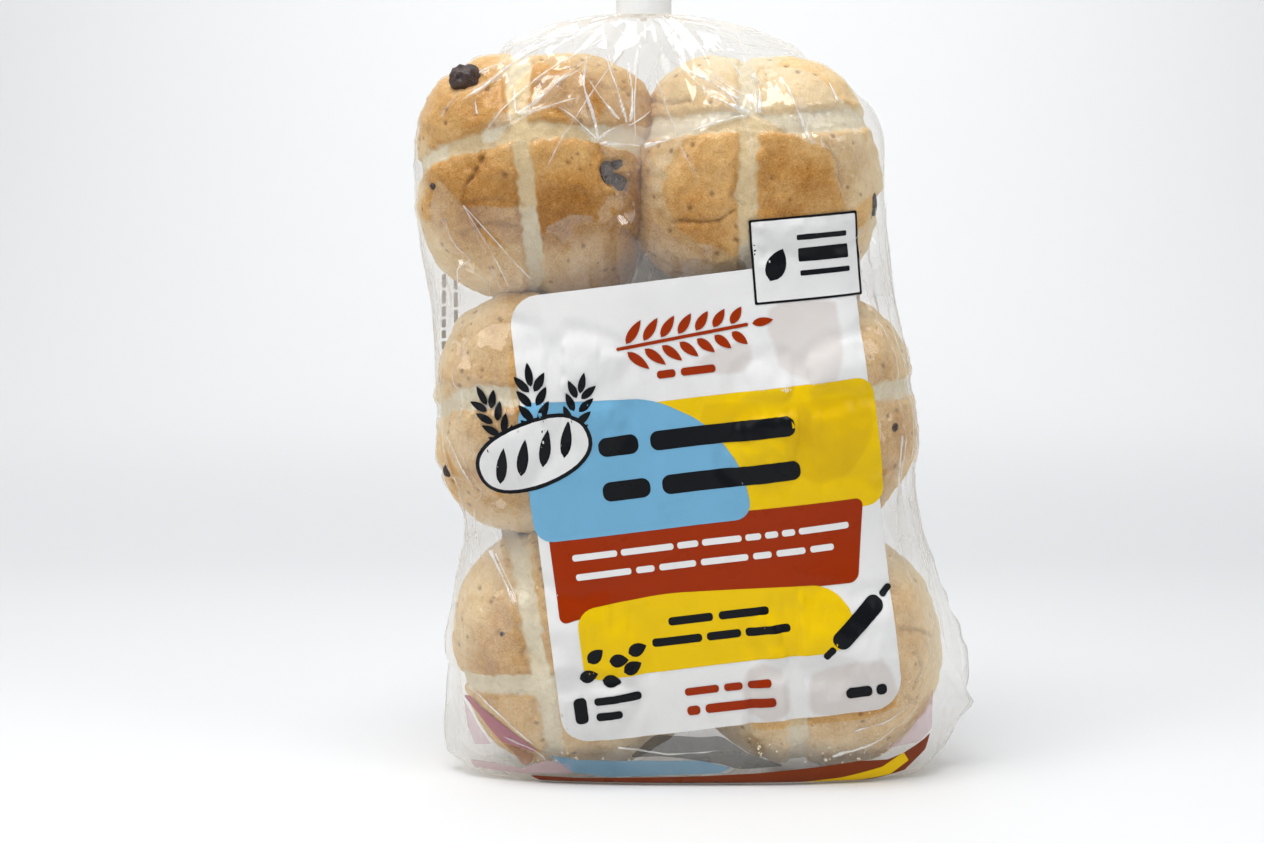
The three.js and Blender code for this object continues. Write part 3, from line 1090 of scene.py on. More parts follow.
def crease_film(piece):
    """Raises a sharp ridge along each crease, lower towards its ends, and keeps its strength."""
    points = take_points(piece)
    surface, crowd = surface_of(piece), crowd_of(points)
    lift, ridge = np.zeros(len(points)), np.zeros(len(points))
    for side, height, half_width, line in creases:
        for share, place, _ in throw(side, line, surface):
            strength = min(1, 6 * (1 - share), 0.35 + 5 * share) * (1 - 0.35 * share)
            for _, index, distance in crowd.find_range(place, CREASE_BREADTH * half_width):
                fall = math.exp(-distance / half_width) - math.exp(-CREASE_BREADTH)
                lift[index] = max(lift[index], height * strength * fall)
                ridge[index] = max(ridge[index], strength * math.exp(-distance / 0.55))
    points += take_normals(piece) * lift[:, None]
    points[:, 2] = np.maximum(points[:, 2], FOOT_Z)
    put_points(piece, points)
    put_values(piece, crease=ridge)


creases = [("front", *pinch) for pinch in PINCHES]
creases += [*side_creases(), *neck_creases(), *back_creases()]
crease_film(film)
lift_faces(film)
gaps, _ = gaps_to_buns(take_points(film))
put_values(film, gap=gaps)
print("film touches the buns over", round(100 * float((gaps < 0.6).mean())), "% of its points")
bpy.data.objects.remove(block)
film_surface = surface_of(film)

# %% [markdown]
# The top of a crease is a line finer than the film's own faces, so it gets a mesh of its own: a narrow
# strip that lies along the ridge, widest near the pinch and thin at its end.

# %% Lines on the creases
LINE_LIFT = 0.12
LINE_HALF_WIDTH = 0.62
LINE_ROWS = np.array([-1, -0.5, 0, 0.5, 1])


def crease_line(side, height, half_width, line):
    """A narrow raised strip along a crease, or nothing where the crease is too short."""
    thrown = throw(side, line, film_surface)
    if len(thrown) < 4:
        return None
    shares, places, facings = (np.array(part) for part in zip(*thrown))
    across = np.cross(np.gradient(places, axis=0), facings)
    across /= np.linalg.norm(across, axis=1)[:, None]
    taper = np.minimum(1, 8 * (1 - shares)) * (1 - 0.6 * shares) * (1 + 0.4 * lumps(places, 4, 95))
    half = (LINE_HALF_WIDTH * min(height, 1.3) ** 1.5 * np.clip(taper, 0.12, 1.6))[:, None]
    rows = [places + across * half * row + facings * half * 0.4 * (1 - row ** 2) for row in LINE_ROWS]
    strip, column, row = grid("strip", len(thrown) - 1, 4)
    put_points(strip, np.array(rows)[row, column] + facings[column] * LINE_LIFT)
    worn = np.clip(0.75 + 0.45 * lumps(places, 8, 98), 0.15, 1.2) * min(1, height)
    worn *= np.minimum(1, 5 * (1 - shares))
    put_values(strip, core=(1 - LINE_ROWS[row] ** 2) * worn[column])
    return strip


strips = [strip for strip in (crease_line(*crease) for crease in creases) if strip]
crease_lines = join(strips, "crease_lines")

# %% [markdown]
# Between the creases the film stands off in flat facets, and each facet shows a pale veil with a straight
# edge. They are given as outlines in x and z. For each point of the film the distance to the nearest
# outline is kept, more than 0 inside it, so that the material can draw an edge sharper than the mesh.

# %% Facets with a veil
VEILS = [
    [(-97, 232), (-87, 221), (-80, 209), (-72, 188), (-87, 190), (-97, 206), (-102, 220)],
    [(-86, 221.5), (-65.5, 221), (-65.5, 202), (-74, 209)],
    [(-81, 212), (-69, 198), (-59, 190), (-68, 187), (-75, 200)],
    [(-57, 214), (-48, 219), (-40, 218), (-37, 207), (-41, 198), (-50, 192), (-57, 196)],
    [(-80, 245), (-75, 257), (-68, 255), (-73, 246)],
    [(-60, 270), (-43, 271), (-40, 258), (-38, 247), (-52, 258), (-63, 256)],
    [(-38, 270), (-18, 261), (-26, 253), (-32, 257)],
    [(-16.4, 269.4), (0, 274), (22, 276), (44, 270), (58.7, 257), (64, 242), (66, 226), (56, 220), (50, 232),
     (47.8, 242), (41.2, 245.1), (21.3, 255.3), (0.1, 250.6), (-16.4, 244.7)],
    [(-24, 209), (-11, 210), (5, 207), (8, 205), (-10, 193), (-24, 193)],
    [(-21, 240), (-14, 242), (-12, 232), (-20, 226)],
    [(-101.3, 193), (-73.6, 192), (-69.2, 176), (-70.9, 152), (-66.9, 140), (-66, 122), (-78, 112),
     (-90, 118), (-99, 134), (-102, 160)],
    [(-92, 92), (-78, 101), (-66, 99), (-58, 88), (-56, 60), (-52, 36), (-41, 15), (-52, 11), (-75, 18),
     (-97, 40), (-96, 74)],
    [(56, 187), (77, 187), (84, 143), (85, 128), (75, 118), (66, 128), (63, 150)],
    [(66, 112), (76, 114), (88, 106), (95, 78), (104, 40), (88, 15), (31, 11), (18, 22), (65, 28), (76, 31),
     (74, 75)],
]
# Patches where the film is painted whiter, mostly over the shoulders and the top buns: painted highlights
# where the lights glint on the film.
PAINTED_HIGHLIGHTS = [
    [(-37.5, 246), (-26.5, 252.3), (-20, 250), (-14, 253), (-15, 245.4), (-19.8, 243.9)],
    [(-20, 243.9), (-16, 250), (-5, 253), (6, 256.5), (21, 255.8), (5, 251.8), (-8, 247.2)],
    [(0, 264.5), (8, 262), (20, 256.5), (20, 262), (9, 269), (-2, 271)],
    [(34.5, 262), (37.5, 261), (41, 251), (43.5, 244.5), (40.8, 244.5), (37, 253)],
    [(-86, 263), (-73, 272.5), (-60, 280), (-62, 276.5), (-74, 268.5)],
]
# Where the crowns press against the print from behind.
STAINS = [
    [(26.3, 182.7), (31.8, 186), (42.9, 187.1), (50.7, 185.3), (53.4, 176), (54.6, 167.8), (53.6, 160.4),
     (51, 157), (43.2, 155.9), (33.9, 157.8), (29.1, 162.6), (28.3, 168.6), (26, 174.2)],
    [(-1.4, 162.3), (8.6, 159.3), (16.4, 160), (19.8, 164.1), (20.1, 171.2), (14.5, 171.6), (7.1, 168.6)],
    [(29.2, 143.9), (34, 148.8), (45.1, 150.7), (56.3, 151.1), (63, 148.4), (65.7, 142.4), (65.1, 134.9),
     (61.1, 126.7), (54.8, 120.6), (45.5, 118.8), (38, 122.2), (32.7, 128.2), (31.9, 134.9)],
    [(0.5, 143.9), (3.1, 148.1), (13.5, 149.2), (21.4, 148.1), (24, 143.9), (24, 137.2), (17.3, 132.7),
     (6.2, 133.4), (1.7, 137.9)],
    [(42.1, 36), (43.2, 45.2), (49.2, 48.3), (59.3, 49.8), (68.8, 50.6), (73.7, 46.8), (75.4, 37.9),
     (72.8, 30.6), (63.4, 27.5), (50.1, 26.7), (43.3, 29.8)],
    [(16.8, 39.8), (19, 46), (25.4, 48.3), (32.6, 47.5), (34.9, 39.8), (34.2, 31.3), (27.4, 26.7),
     (19.8, 29)],
]


OUTSIDE = -20.0


def inside_by(points, outlines):
    """How far each point is inside the outlines, seen from the front, and less than 0 outside them."""
    flat = points[:, [0, 2]] + 0.5 * np.stack([lumps(points, 9, 96), lumps(points, 9, 97)], 1)
    deepest = np.full(len(points), OUTSIDE)
    for outline in outlines:
        corners = np.array(outline, dtype=float)
        nearest = np.full(len(points), np.inf)
        crossings = np.zeros(len(points), dtype=int)
        for start, end in zip(corners, np.roll(corners, -1, axis=0)):
            nearest = np.minimum(nearest, off_stroke(flat, start, end))
            way = end - start
            if way[1]:
                meets = (start[1] > flat[:, 1]) != (end[1] > flat[:, 1])
                crossings += meets & (flat[:, 0] < start[0] + (flat[:, 1] - start[1]) * way[0] / way[1])
        deepest = np.maximum(deepest, np.where(crossings % 2 == 1, nearest, -nearest))
    return np.where(points[:, 1] < MIDDLE_Y, deepest, OUTSIDE)


points = take_points(film)
put_values(film, stain=inside_by(points, STAINS), veil=inside_by(points, VEILS),
           bright_veil=inside_by(points, PAINTED_HIGHLIGHTS))

# %% [markdown]
# ## Clear film
#
# A film this thin doesn't bend light, so it isn't made as glass. It lets the light straight through, and
# mirrors a little of it: far more at a grazing angle than face on. Where it stands off the crust there is
# a faint white veil on it. Where it clings, the veil is gone, and the crust under it is deeper in colour.
# Crumpled film is a patchwork of flat facets that each mirror another part of the room, so a random tilt
# for each cell of a stretched Voronoi pattern breaks the reflections up.

# %% Film material
VEIL_EDGE = 0.35
WET_TINT = (0.95, 0.89, 0.80, 1)
DRY_TINT = (0.985, 0.985, 0.98, 1)
# The milk is a little warm, which stands in for light thrown into the film by the buns: painted bounce light.
MILK = (0.95, 0.935, 0.91, 1)


def facets(mix, size, stretch, turn, shift):
    """Flat facets drawn out along one direction: a random colour for each, and the distance to its folds."""
    place = mix.node("Mapping", vector_type="TEXTURE", Vector=mix.node("TexCoord", "Object"),
                     Location=[shift * MM] * 3, Rotation=(0, math.radians(turn), 0), Scale=(1, 1, stretch))
    return [mix.node("TexVoronoi", output, feature=feature, Vector=place, Scale=1 / (size * MM))
            for feature, output in (("F1", "Color"), ("DISTANCE_TO_EDGE", "Distance"))]


def milky(mix, glow):
    """White scatter, on both sides of the film."""
    return mix.layered(glow, mix.node("BsdfDiffuse", Color=MILK), mix.node("BsdfTranslucent", Color=MILK))


def film_material():
    """Transparent film that mirrors by angle, with veiled facets where it stands free of the crust, painted
    highlights on outlined patches and along creases, and a haze at grazing angles that is partly painted
    reflection.
    """
    mix = recipe("clear_film")
    drift, fine = mix.noise(9, 3, 0.55), mix.noise(1.6, 2, 0.5)
    gap = (drift - 0.5) * 0.25 + mix.kept("gap")
    # The second set of outlines is a painted highlight: the film is painted whiter there.
    outlined, bright = (mix.step(mix.kept(name), -VEIL_EDGE, VEIL_EDGE) for name in ("veil", "bright_veil"))
    apart = mix.step(gap, 0.60, 0.85).at_least(outlined.at_least(bright))

    wide, wide_folds = facets(mix, 19, 2.2, 12, 3)
    narrow, _ = facets(mix, 9, 3.5, -16, 40)
    tilt = mix.vector("SUBTRACT", mix.vector("ADD", wide, narrow), (1, 1, 1))
    tilt = mix.vector("SCALE", tilt, apart * 0.22)
    normal = mix.vector("ADD", mix.node("NewGeometry", "Normal"), tilt)
    relief = mix.bump(fine * 0.3 + drift, 0.2, 0.2, Normal=normal)

    grazing = mix.node("LayerWeight", "Facing").maths("POWER", 4.5)
    mirror = grazing * 0.20 + (apart * 0.05 + 0.015)
    cloud = mix.step(mix.node("SeparateColor", Color=wide), 0.35, 0.75) * 0.05 + 0.045
    cloud = mix.step(mix.node("SeparateColor", Color=narrow), 0.6, 0.9) * 0.05 + cloud
    folds = mix.step(wide_folds, 0.05, 0.0) * mix.step(drift, 0.45, 0.65) * apart
    haze = apart * cloud * (mix.step(gap, 3.0, 11.0) * 1.3 + 1.0)
    # The haze grows at grazing angles: partly the longer path through the film, partly a painted reflection
    # of the bright room seen edge on.
    for veil, share in ((outlined, 0.035), (bright, 0.22), (grazing, 0.5), (folds, 0.10)):
        haze = veil * share + haze
    # Along the creases, as along the folds between facets above, the film is painted white: partly stress
    # whitening, partly a painted glint.
    haze = haze.at_least(mix.kept("crease") * 0.30)
    clear = mix.node("BsdfTransparent", Color=mix.blend(apart, WET_TINT, DRY_TINT))
    body = mix.layered(haze.clamped(), clear, milky(mix, 0.45))
    shine = mix.node("BsdfGlossy", Roughness=0.10, Normal=relief)
    return mix.cover(mix.layered(mirror.clamped(), body, shine))


def crease_material():
    """Whitened film along the top of a crease, partly stress whitening and partly a painted glint of the
    lights.
    """
    mix = recipe("whitened_glinting_film")
    share = (mix.noise(5, 3, 0.6) * 0.8 + 0.75) * mix.kept("core").maths("POWER", 0.9)
    share = share.clamped()
    body = mix.layered(share, mix.node("BsdfTransparent"), milky(mix, 0.4))
    return mix.cover(mix.layered(share * 0.12, body, mix.node("BsdfGlossy", Roughness=0.15)))


clear_film = film_material()
finish(film, "film", clear_film)
finish(crease_lines, "film", crease_material())

# %% [markdown]
# ## Print on the film
#
# Ink lies on the film and takes every crease of it. So each printed shape is cut out of a copy of the film
# itself, as a pastry cutter cuts dough: a flat outline is drawn, extruded into a cutter, and the copy is
# intersected with it. The piece is then lifted a hair off the film, and an ink that overprints others a
# little more. All wording is left as plain bars, and bakery motifs fill the places of pictures.

# %% Outlines
FRONT_CUT_Y = (-52.0, -4.0)
BACK_CUT_Y = (14.0, 50.0)
LAYER_GAP = 0.05


def on_front(points):
    """Turns points of the print (right, up, from its middle) into x and z of the bag."""
    right, up = np.array(points, dtype=float).T
    return turned(right, up, PRINT_TURN, PRINT_MIDDLE)


def shape(points, corner=0.0):
    """A flat shape with these corners in x and z, rounded by a vertex bevel."""
    choose()
    bpy.ops.mesh.primitive_circle_add(vertices=len(points), fill_type="NGON")
    flat = bpy.context.object
    put_points(flat, np.insert(np.array(points, dtype=float), 1, 0.0, axis=1))
    if corner:
        with editing(flat):
            bpy.ops.mesh.bevel(offset=corner * MM, segments=6, affect="VERTICES", clamp_overlap=True)
    return flat


def box_points(right, up, width, height, turn=0.0):
    """The corners of a rectangle about its middle, turned in degrees."""
    sides, ends = width * np.array([-0.5, 0.5, 0.5, -0.5]), height * np.array([-0.5, -0.5, 0.5, 0.5])
    return turned(sides, ends, turn, (right, up))


def bar(right, up, width, height, corner=None, turn=0.0):
    """A bar of the front print with round ends."""
    corner = min(width, height) * 0.42 if corner is None else corner
    return shape(on_front(box_points(right, up, width, height, turn)), corner)


def row_of_bars(right, up, widths, height, space):
    """Bars of these widths in a row, as words stand in a line."""
    starts = right + walked(np.array(widths) + space)
    return [bar(start + width / 2, up, width, height) for start, width in zip(starts, widths)]


def leaf(right, up, length, width, turn):
    """A pointed leaf or grain, growing from its foot in the direction of its turn."""
    along = np.concatenate([np.linspace(0, 1, 9), np.linspace(1, 0, 9)[1:-1]])
    side = np.concatenate([np.ones(9), -np.ones(7)])
    bulge = side * width / 2 * np.sin(math.pi * along ** 0.8) ** 0.8
    return shape(on_front(turned(along * length, bulge, turn, (right, up))[::-1]))


def ear_of_wheat(right, up, length, turn, pairs=4):
    """A plain ear of wheat: a stem, and grains in pairs with one at the tip. No two of its parts touch."""
    def along(reach, aside):
        return turned(length * reach, length * aside, turn, (right, up))

    parts = [bar(*along(0.19, 0), 0.38 * length, 0.03 * length, turn=turn)]
    for pair in range(pairs):
        for side in (-1, 1):
            foot = along(0.38 + 0.125 * pair, 0.022 * side)
            parts.append(leaf(*foot, 0.19 * length, 0.075 * length, turn + 36 * side))
    parts.append(leaf(*along(0.43 + 0.125 * (pairs - 1), 0), 0.21 * length, 0.07 * length, turn))
    return parts


# %% [markdown]
# Ink on film is flat, glossy and not quite solid. Where the film clings to a crown the crust shows through
# it as a faint stain, with the same crisp edge as the wet patches on the clear film.

# %% Inks
STAIN_TINT = (0.60, 0.46, 0.38, 1)


def ink_material(name, colour, thinness=0.02, stain=0.25):
    """Glossy ink in one colour that lets a little of the crust show through where the film clings."""
    mix = recipe("ink_" + name)
    drift, press = mix.noise(11, 3, 0.55), mix.noise(0.5, 2, 0.6)
    paint = mix.node("RGB")
    paint.socket.default_value = (*colour, 1)
    shade = mix.vector("SCALE", paint, drift * 0.10 + (press * 0.06 + 0.92))
    inside = (drift - 0.5) * 5.0 + mix.kept("stain")
    held = mix.step(inside, -1.2, 1.2) * (drift * 0.8 + 0.5)
    stained = mix.blend(held * stain, shade, STAIN_TINT, "MULTIPLY")
    mix.paint(stained, drift * 0.2 + 0.20, mix.bump(drift, 0.25, 0.2), specular=0.12)
    solid = Wire(mix.tree.nodes["Principled BSDF"].outputs[0])
    return mix.cover(mix.layered(thinness, solid, mix.node("BsdfTransparent")))


INKS = {
    "white": ink_material("white", (0.80, 0.795, 0.785), stain=0.36),
    "blue": ink_material("blue", (0.17, 0.42, 0.63)),
    "yellow": ink_material("yellow", (0.84, 0.55, 0.003)),
    "rust": ink_material("rust", (0.33, 0.028, 0.0008)),
    "black": ink_material("black", (0.006, 0.007, 0.009), thinness=0.0, stain=0.0),
    "grey": ink_material("grey", (0.26, 0.26, 0.27), thinness=0.1, stain=0.0),
    "pink": ink_material("pink", (0.46, 0.21, 0.25), thinness=0.15),
    "tan": ink_material("tan", (0.38, 0.21, 0.14), thinness=0.25),
    "thin_pink": ink_material("thin_pink", (0.62, 0.42, 0.45), thinness=0.5),
    # A see-through dark grey for the foot: painted shade.
    "painted_shade_grey": ink_material("painted_shade_grey", (0.055, 0.06, 0.065), thinness=0.45),
    "base_blue": ink_material("base_blue", (0.17, 0.31, 0.42), thinness=0.2),
    "base_rust": ink_material("base_rust", (0.20, 0.032, 0.004)),
}
# The slot of each ink whose own name isn't one.
INK_SLOTS = {
    "tan": "rust", "thin_pink": "pink", "painted_shade_grey": "grey", "base_blue": "blue", "base_rust": "rust",
}


# %% Cutting the film
def film_part(name, kept):
    """A copy of the film with only the points that are kept."""
    part = copy_of(film, name)
    pick(part, "VERT", ~kept)
    with editing(part, None):
        bpy.ops.mesh.delete(type="VERT")
    return part


points = take_points(film)
front_part = film_part("front_part", (points[:, 1] < -8) & (points[:, 2] < 225))
back_part = film_part("back_part", points[:, 1] > MIDDLE_Y)


def cut_print(name, ink, layer, shapes, part=front_part, cut=FRONT_CUT_Y):
    """Cuts shapes out of a part of the film, lifts them off it and finishes them as one printed piece."""
    cutter = join(shapes, "cutter")
    put_points(cutter, take_points(cutter) + np.array([0, cut[0], 0]))
    with editing(cutter):
        bpy.ops.mesh.extrude_region_move(TRANSFORM_OT_translate={"value": (0, (cut[1] - cut[0]) * MM, 0)})
        bpy.ops.mesh.select_all(action="SELECT")
        bpy.ops.mesh.normals_make_consistent(inside=False)
    piece = copy_of(part, "print_" + name)
    apply_modifier(piece, "BOOLEAN", operation="INTERSECT", solver="EXACT", object=cutter)
    bpy.data.objects.remove(cutter)

    # The cutter's own walls and end come along with the film, so they are taken off again.
    middles = read(piece.data.polygons, "center", 3)[:, 1] / MM
    at_end = np.minimum(np.abs(middles - cut[0]), np.abs(middles - cut[1])) < 0.01
    pick(piece, "FACE", at_end | (np.abs(read(piece.data.polygons, "normal", 3)[:, 1]) < 0.08))
    with editing(piece, None):
        bpy.ops.mesh.delete(type="FACE")
    put_points(piece, take_points(piece) + take_normals(piece) * LAYER_GAP * layer)
    finish(piece, "print_" + INK_SLOTS.get(ink, ink), INKS[ink])


# %% Fields of the front
cut_print("panel", "white", 1, [bar(0, -1, 130, 172, corner=11)])
cut_print("yellow", "yellow", 2, [bar(23, 15.5, 88, 49, corner=7)])
cut_print("rust", "rust", 3, [
    shape(on_front([(-61, -3.5), (-60.5, -39.5), (-54, -38), (-20, -35.2), (53, -37), (58.5, -5.5)]), 3.5)])
cut_print("pill", "yellow", 4, [
    shape(on_front([(-54, -62.5), (45, -62), (51, -50), (42, -36.5), (-20, -32.5), (-54, -35)]), 6.5)])
cut_print("blue", "blue", 4, [
    shape(on_front([(-66.5, 46), (-66, -8), (16.5, -8), (14.5, 12), (3, 30), (-16, 41.5)]), 7)])
cut_print("tab_edge", "black", 4, [bar(47.4, 86.5, 41, 31.6, corner=0.6, turn=-2)])
cut_print("tab", "white", 5, [bar(47.4, 86.5, 39.2, 29.8, corner=0.4, turn=-2)])

# %% Bars and motifs of the front
# Each line of black words: where it starts, its bars, their height and the space between them.
BLACK_LINES = [
    (-38, 25.5, [15, 54], 7.4, 4.5), (-38.5, 8.5, [18, 52], 7.4, 4.5), (-20, -43.5, [17, 19], 3.2, 2.2),
    (-27, -51, [19, 13, 17], 3.2, 1.8), (-51.5, -70.5, [18], 3.2, 1), (-51.5, -76.8, [10], 3.2, 1),
    (43.5, -78.8, [10, 4], 4.2, 1.6),
]
PALE_LINES = [
    (-53, -15, [17, 20, 8, 15, 6, 5, 5, 19], 2.5, 1.4), (-52.5, -22.4, [21, 7, 14, 18, 7, 11, 9], 2.5, 1.8),
]
RUST_LINES = [(-13, 50, [7, 13], 3.0, 2), (-17, -71.5, [13, 7, 9], 3.0, 2), (-17, -79, [5, 27], 3.6, 2)]
# Each currant: its foot and its turn.
CURRANTS = [
    (-56, -61, 10), (-47.5, -62.5, -15), (-39, -60.5, 20),
    (-52, -55, 35), (-44, -55.5, -5), (-36.5, -53.5, 15),
]
PIN_MIDDLE = (51, -52)
PIN_TURN = 40
LOAF_MIDDLE = (-62.5, 26)
LOAF_TURN = 16


def words(lines):
    """All bars of these lines."""
    return [one for line in lines for one in row_of_bars(*line)]


def oval(width, height):
    """The outline of the loaf, blunter than an ellipse."""
    turn = np.linspace(0, 2 * math.pi, 40, endpoint=False)
    along, aside = (np.sign(way) * np.abs(way) ** 0.85 for way in (np.cos(turn), np.sin(turn)))
    return shape(on_front(turned(width / 2 * along, height / 2 * aside, LOAF_TURN, LOAF_MIDDLE)))


tab_marks = [leaf(33, 79.6, 13, 7.5, 62)]
for up, height in ((94.2, 2.0), (87.6, 5.2), (80.8, 2.0)):
    tab_marks.append(bar(54, up, 19, height, corner=0.5, turn=-2))
cut_print("tab_marks", "black", 6, tab_marks)

black = words(BLACK_LINES) + [bar(-57, -73.5, 5.0, 10.5, corner=2), bar(*PIN_MIDDLE, 24, 7.4, turn=PIN_TURN)]
black += [bar(*turned(15.6 * end, 0, PIN_TURN, PIN_MIDDLE), 5.4, 2.8, turn=PIN_TURN) for end in (-1, 1)]
black += [leaf(right, up, 7.4, 5.2, turn) for right, up, turn in CURRANTS]
for foot, turn, length in ((-66, 112, 39), (-59, 92, 43), (-52, 72, 39)):
    black += ear_of_wheat(foot, 17, length, turn)
cut_print("black", "black", 5, black)

cut_print("loaf_edge", "black", 6, [oval(46, 26)])
cut_print("loaf", "white", 7, [oval(43, 23)])
cut_print("loaf_slashes", "black", 8, [
    leaf(LOAF_MIDDLE[0] + 0.96 * reach - 1.6, LOAF_MIDDLE[1] + 0.28 * reach - 6.5, 14.5, 4.2, 76)
    for reach in (-13.1, -4.3, 4.6, 13.4)])
cut_print("pale_lines", "white", 5, words(PALE_LINES))

sprig = [bar(-2, 63, 50, 1.3, turn=4), leaf(24.5, 64.8, 8, 3.2, 4)]
for pair in range(7):
    foot = -23 + 6.6 * pair
    for side in (-1, 1):
        sprig.append(leaf(foot, 63 + 0.07 * foot + 1.5 * side, 10.5 - 0.5 * pair, 3.5, 4 + 48 * side))
cut_print("rust_lines", "rust", 5, sprig + words(RUST_LINES))

# %% [markdown]
# The base is printed too, and its edge shows along the foot of the front: blue on the left, rust red on
# the right, a yellow wedge, and thin pink where a printed fold lies in two layers. The back has a plain
# white panel with grey bars.

# %% Base and back
# Each shape of the base: its ink, its layer, and its outlines in x and z, each with its rounding.
BASE = {
    "base_blue": ("base_blue", 1, [
        ([(-56, 11.7), (-47, 10.6), (-25, 10.4), (2, 10.6), (13, 7.6), (9, 5.4), (-34, 3.6), (-48, 5.4)],
         0.8),
    ]),
    "base_rust": ("base_rust", 2, [
        ([(-64, 3.2), (-44, 2.9), (2, 4.2), (24, 5.4), (47, 7.6), (62, 9.6), (74, 9.2), (80.2, 11.3),
          (91, 18), (89, 12), (81, 4), (66, 0.6), (-60, 0.5)], 0.5),
    ]),
    "base_yellow": ("yellow", 3, [
        ([(40, 1.0), (56, 2.8), (71.8, 6.4), (80.2, 11.6), (82.4, 8.0), (75, 2.8), (62, 0.8)], 0.4),
    ]),
    "folds": ("pink", 3, [
        ([(-90.2, 32.8), (-87.3, 33), (-83.3, 29.2), (-77.3, 25.6), (-71.5, 21.8), (-65.7, 17.2),
          (-60.9, 12.4), (-62.6, 12.3), (-71.5, 14.8), (-75, 15.6), (-80.1, 21.3), (-84.1, 26.3),
          (-88.2, 30.6)], 0.2),
    ]),
    "fold_tan": ("tan", 3, [
        ([(-74.7, 14.9), (-71.5, 14.2), (-62.6, 11.3), (-63.2, 8.6), (-65.4, 7.2), (-67.3, 7.6),
          (-70.6, 11.5)], 0.2),
    ]),
    "fold_under": ("thin_pink", 1, [
        ([(-90.3, 31.2), (-87, 26.1), (-82.4, 19), (-79.4, 14.7), (-85.8, 14.1), (-88.5, 20.9)], 0.2),
        ([(-95.5, 6.8), (-81.9, 7.4), (-66.8, 5.9), (-58, 9.7), (-48.1, 8.3), (-47, 5.1), (-66.9, 3.6),
          (-82.1, 4.2), (-94.3, 3.9)], 0.2),
        ([(72, 13.6), (80, 18), (87, 26), (92.4, 36), (94, 30), (92, 20), (86, 15.5)], 0.5),
        ([(95, 46), (100.5, 36), (96.5, 33), (93.6, 38)], 0.3),
    ]),
    # A thin dark grey sheet low in the middle of the foot, below where the bottom buns meet: painted shade,
    # not print.
    "base_painted_shade": ("painted_shade_grey", 1, [
        ([(-16, 21), (2, 20), (9, 20.5), (20, 13.2), (34, 8.2), (16, 7), (8, 9.4), (-12, 12.4),
          (-26, 11.6)], 2.2),
    ]),
}
for name, (ink, layer, outlines) in BASE.items():
    cut_print(name, ink, layer, [shape(*outline) for outline in outlines])

back = dict(part=back_part, cut=BACK_CUT_Y)
cut_print("back_panel", "white", 1, [shape(box_points(-6, 138, 142, 168), 10)], **back)
cut_print("back_field", "rust", 2, [
    shape(box_points(-6, 208, 122, 12), 3), shape(box_points(-6, 72, 122, 16), 3)], **back)
chance = np.random.default_rng(7)
grey = []
for line in range(13):
    for right, width in ((-64, 52), (0, 50)):
        width -= chance.uniform(0, 14) if line % 4 == 3 else 0
        grey.append(shape(box_points(right + width / 2, 190 - 8.2 * line, width, 2.6), 1.1))
for x in (-98.6, -94.2):
    z = 198.0
    while z > 164:
        length = chance.uniform(2.2, 6.0)
        grey.append(shape(box_points(x, z - length / 2, 1.5, length), 0.5))
        z -= length + 1.0
cut_print("back_lines", "grey", 2, grey, **back)
for part in (front_part, back_part):
    bpy.data.objects.remove(part)

# %% [markdown]
# ## Raisins and crumbs
#
# Each raisin is a small wrinkled ball. It is dropped straight back onto the crust and pushed in until
# about half of it shows. Crumbs are the same, but much smaller, and they lie on the inside of the film,
# mostly along the foot.

# %% Raisins
RAISIN_CUTS = 26


def dropped(surface, x, z):
    """Where a line through x and z, straight back from the front, first meets a surface."""
    hit, normal, _, _ = surface.ray_cast(Vector((x, -100, z)) * MM, Vector((0, 1, 0)))
    return (np.array(hit) / MM, np.array(normal)) if hit else (None, None)


def make_raisin(index, x, z, width, height, shown):
    """A wrinkled raisin, pushed into the crust."""
    for surface in bun_surfaces:
        place, facing = dropped(surface, x, z)
        if place is not None:
            break
    choose()
    bpy.ops.mesh.primitive_uv_sphere_add(segments=2 * RAISIN_CUTS, ring_count=RAISIN_CUTS, radius=MM)
    raisin = bpy.context.object
    ball = take_points(raisin)
    wrinkle = creased(ball, 0.42, 300 + index) - 0.6
    ball *= (1 + 0.11 * wrinkle + 0.05 * lumps(ball, 0.6, 340 + index))[:, None]
    depth = 0.5 * (width + height) * 0.42
    ball *= np.array([width / 2, depth, height / 2])
    put_points(raisin, place + facing * depth * (2 * shown - 1) + ball)
    return raisin


def raisin_material():
    """Dark blue-black fruit, browner on its ridges, with a soft shine."""
    mix = recipe("raisin")
    mottle = mix.noise(1.6, 4, 0.6)
    fruit = mix.ramp(
        mottle, (0.3, (0.010, 0.008, 0.010)), (0.55, (0.045, 0.022, 0.016)), (0.8, (0.14, 0.060, 0.026)))
    bloom = mix.step(mix.noise(0.9, 3, 0.7), 0.58, 0.70) * 0.3
    colour = mix.blend(bloom, fruit, (0.40, 0.38, 0.40, 1))
    return mix.paint(colour, mottle * 0.35 + 0.25, mix.bump(mottle, 1.0, 0.6))


bun_surfaces = [surface_of(bun) for bun in buns]
raisins = join([make_raisin(index, *spec) for index, spec in enumerate(RAISINS)], "raisins")
finish(raisins, "raisin", raisin_material())

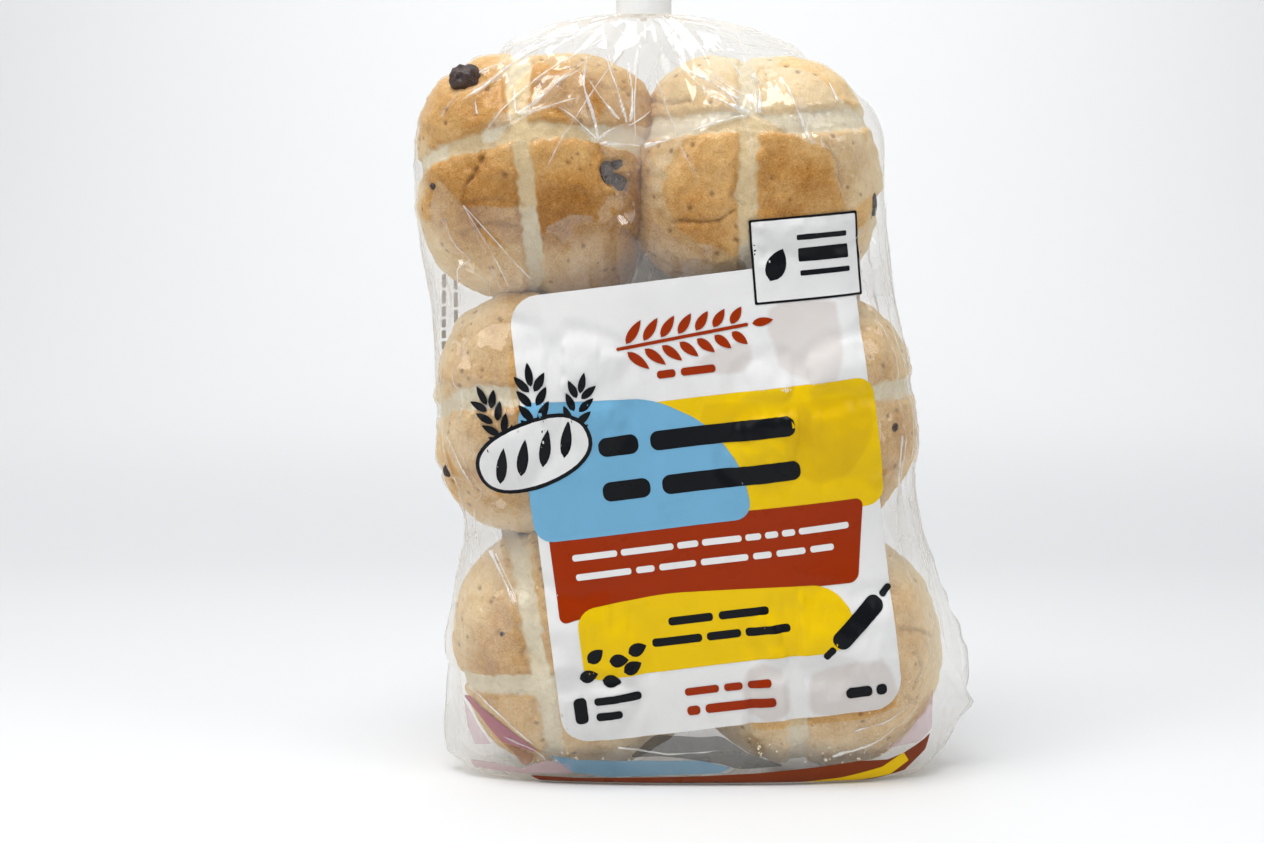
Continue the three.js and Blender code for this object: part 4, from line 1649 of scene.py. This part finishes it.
# %% Crumbs
# Each heap: x, z, spread across, spread up, and how many crumbs.
HEAPS = [
    (-73, 17, 5, 3, 14), (-40, 10, 18, 2, 16), (18, 15, 7, 2, 20), (58, 13, 9, 2.5, 22),
    (76, 24, 6, 5, 26), (83, 36, 3, 5, 12), (0, 8, 40, 1.5, 20),
]
chance = np.random.default_rng(41)
crumbs = []
for x, z, across, up, count in HEAPS:
    for _ in range(count):
        crumb_x, crumb_z = x + chance.normal(0, across), z + chance.normal(0, up)
        place, facing = dropped(film_surface, crumb_x, max(2.0, crumb_z))
        if place is None:
            continue
        size = chance.uniform(0.18, 0.55)
        choose()
        bpy.ops.mesh.primitive_ico_sphere_add(subdivisions=2, radius=MM)
        crumb = bpy.context.object
        ball = take_points(crumb)
        ball *= (1 + 0.25 * lumps(ball, 0.8, len(crumbs)))[:, None] * chance.uniform(0.7, 1.3, 3)
        put_points(crumb, place - facing * (size + 0.1) + ball * size)
        crumbs.append(crumb)
finish(join(crumbs, "crumbs"), "crust", recipe("crumb").paint((0.86, 0.74, 0.55, 1), 0.7))

# %% [markdown]
# ## The neck
#
# Above the tape the gathered film springs open again into a fan. It is made as the bag was: a flat grid
# whose columns run up and whose rows go round. Many pleats meet at the tape and fade into wider waves at
# the cut edge.

# %% Fan of film above the tape
FAN_COLUMNS = 288
FAN_ROWS = 26
FAN_FOOT = tape_high[2] - 1.0
FAN_TOP = bag_high[2] - 3.2
FAN_HALF_WIDTH = 33
FAN_HALF_DEPTH = 10.5
FAN_PLEATS = 15

fan, column, level = grid("fan", FAN_COLUMNS, FAN_ROWS)
turn, climb = 2 * math.pi * column / FAN_COLUMNS, level / FAN_ROWS
flare = smooth(0, 1.1, climb) ** 0.8
around = np.column_stack([np.cos(turn), np.sin(turn)])
pleats = 0.75 * lumps(np.column_stack([around * FAN_PLEATS / math.pi, climb * 0.7]), 1, 61)
pleats += 0.5 * (creased(np.column_stack([around * FAN_PLEATS * 1.8 / math.pi, climb * 1.2]), 1, 62) - 0.5)
pleats = np.clip(pleats, -1.3, 1.3)
wide = NECK_RADIUS - 0.4 + (FAN_HALF_WIDTH - NECK_RADIUS) * flare
deep = NECK_RADIUS - 0.4 + (FAN_HALF_DEPTH - NECK_RADIUS) * flare
swing = 1 + (0.10 + 0.10 * flare) * pleats
put_points(fan, np.column_stack([
    NECK_X + wide * swing * around[:, 0] + 1.2 * flare * lumps(np.column_stack([around, climb]), 0.35, 64),
    MIDDLE_Y + (deep + 1.6 * pleats * flare) * around[:, 1] * (1 + 0.10 * pleats * (1 - flare)),
    FAN_FOOT + (FAN_TOP - FAN_FOOT) * climb + 1.8 * flare * lumps(around, 0.5, 63),
]))
close_seam(fan)
put_values(fan, gap=8.0, crease=0.0, veil=OUTSIDE, bright_veil=OUTSIDE)
finish(fan, "film", clear_film)

# %% Paper tape
mix = recipe("paper_tape")
fibres = mix.noise(0.8, 4, 0.6)
paper = mix.ramp(fibres, (0.2, (0.80, 0.80, 0.78)), (0.8, (0.88, 0.88, 0.87)))
paper_tape = mix.paint(paper, 0.55, mix.bump(fibres, 0.3, 0.1))
neck_tape = bpy.data.objects["neck_tape"]
for tape_slot in neck_tape.material_slots:
    tape_slot.material = paper_tape
print("the tape has", len(neck_tape.material_slots), "material")
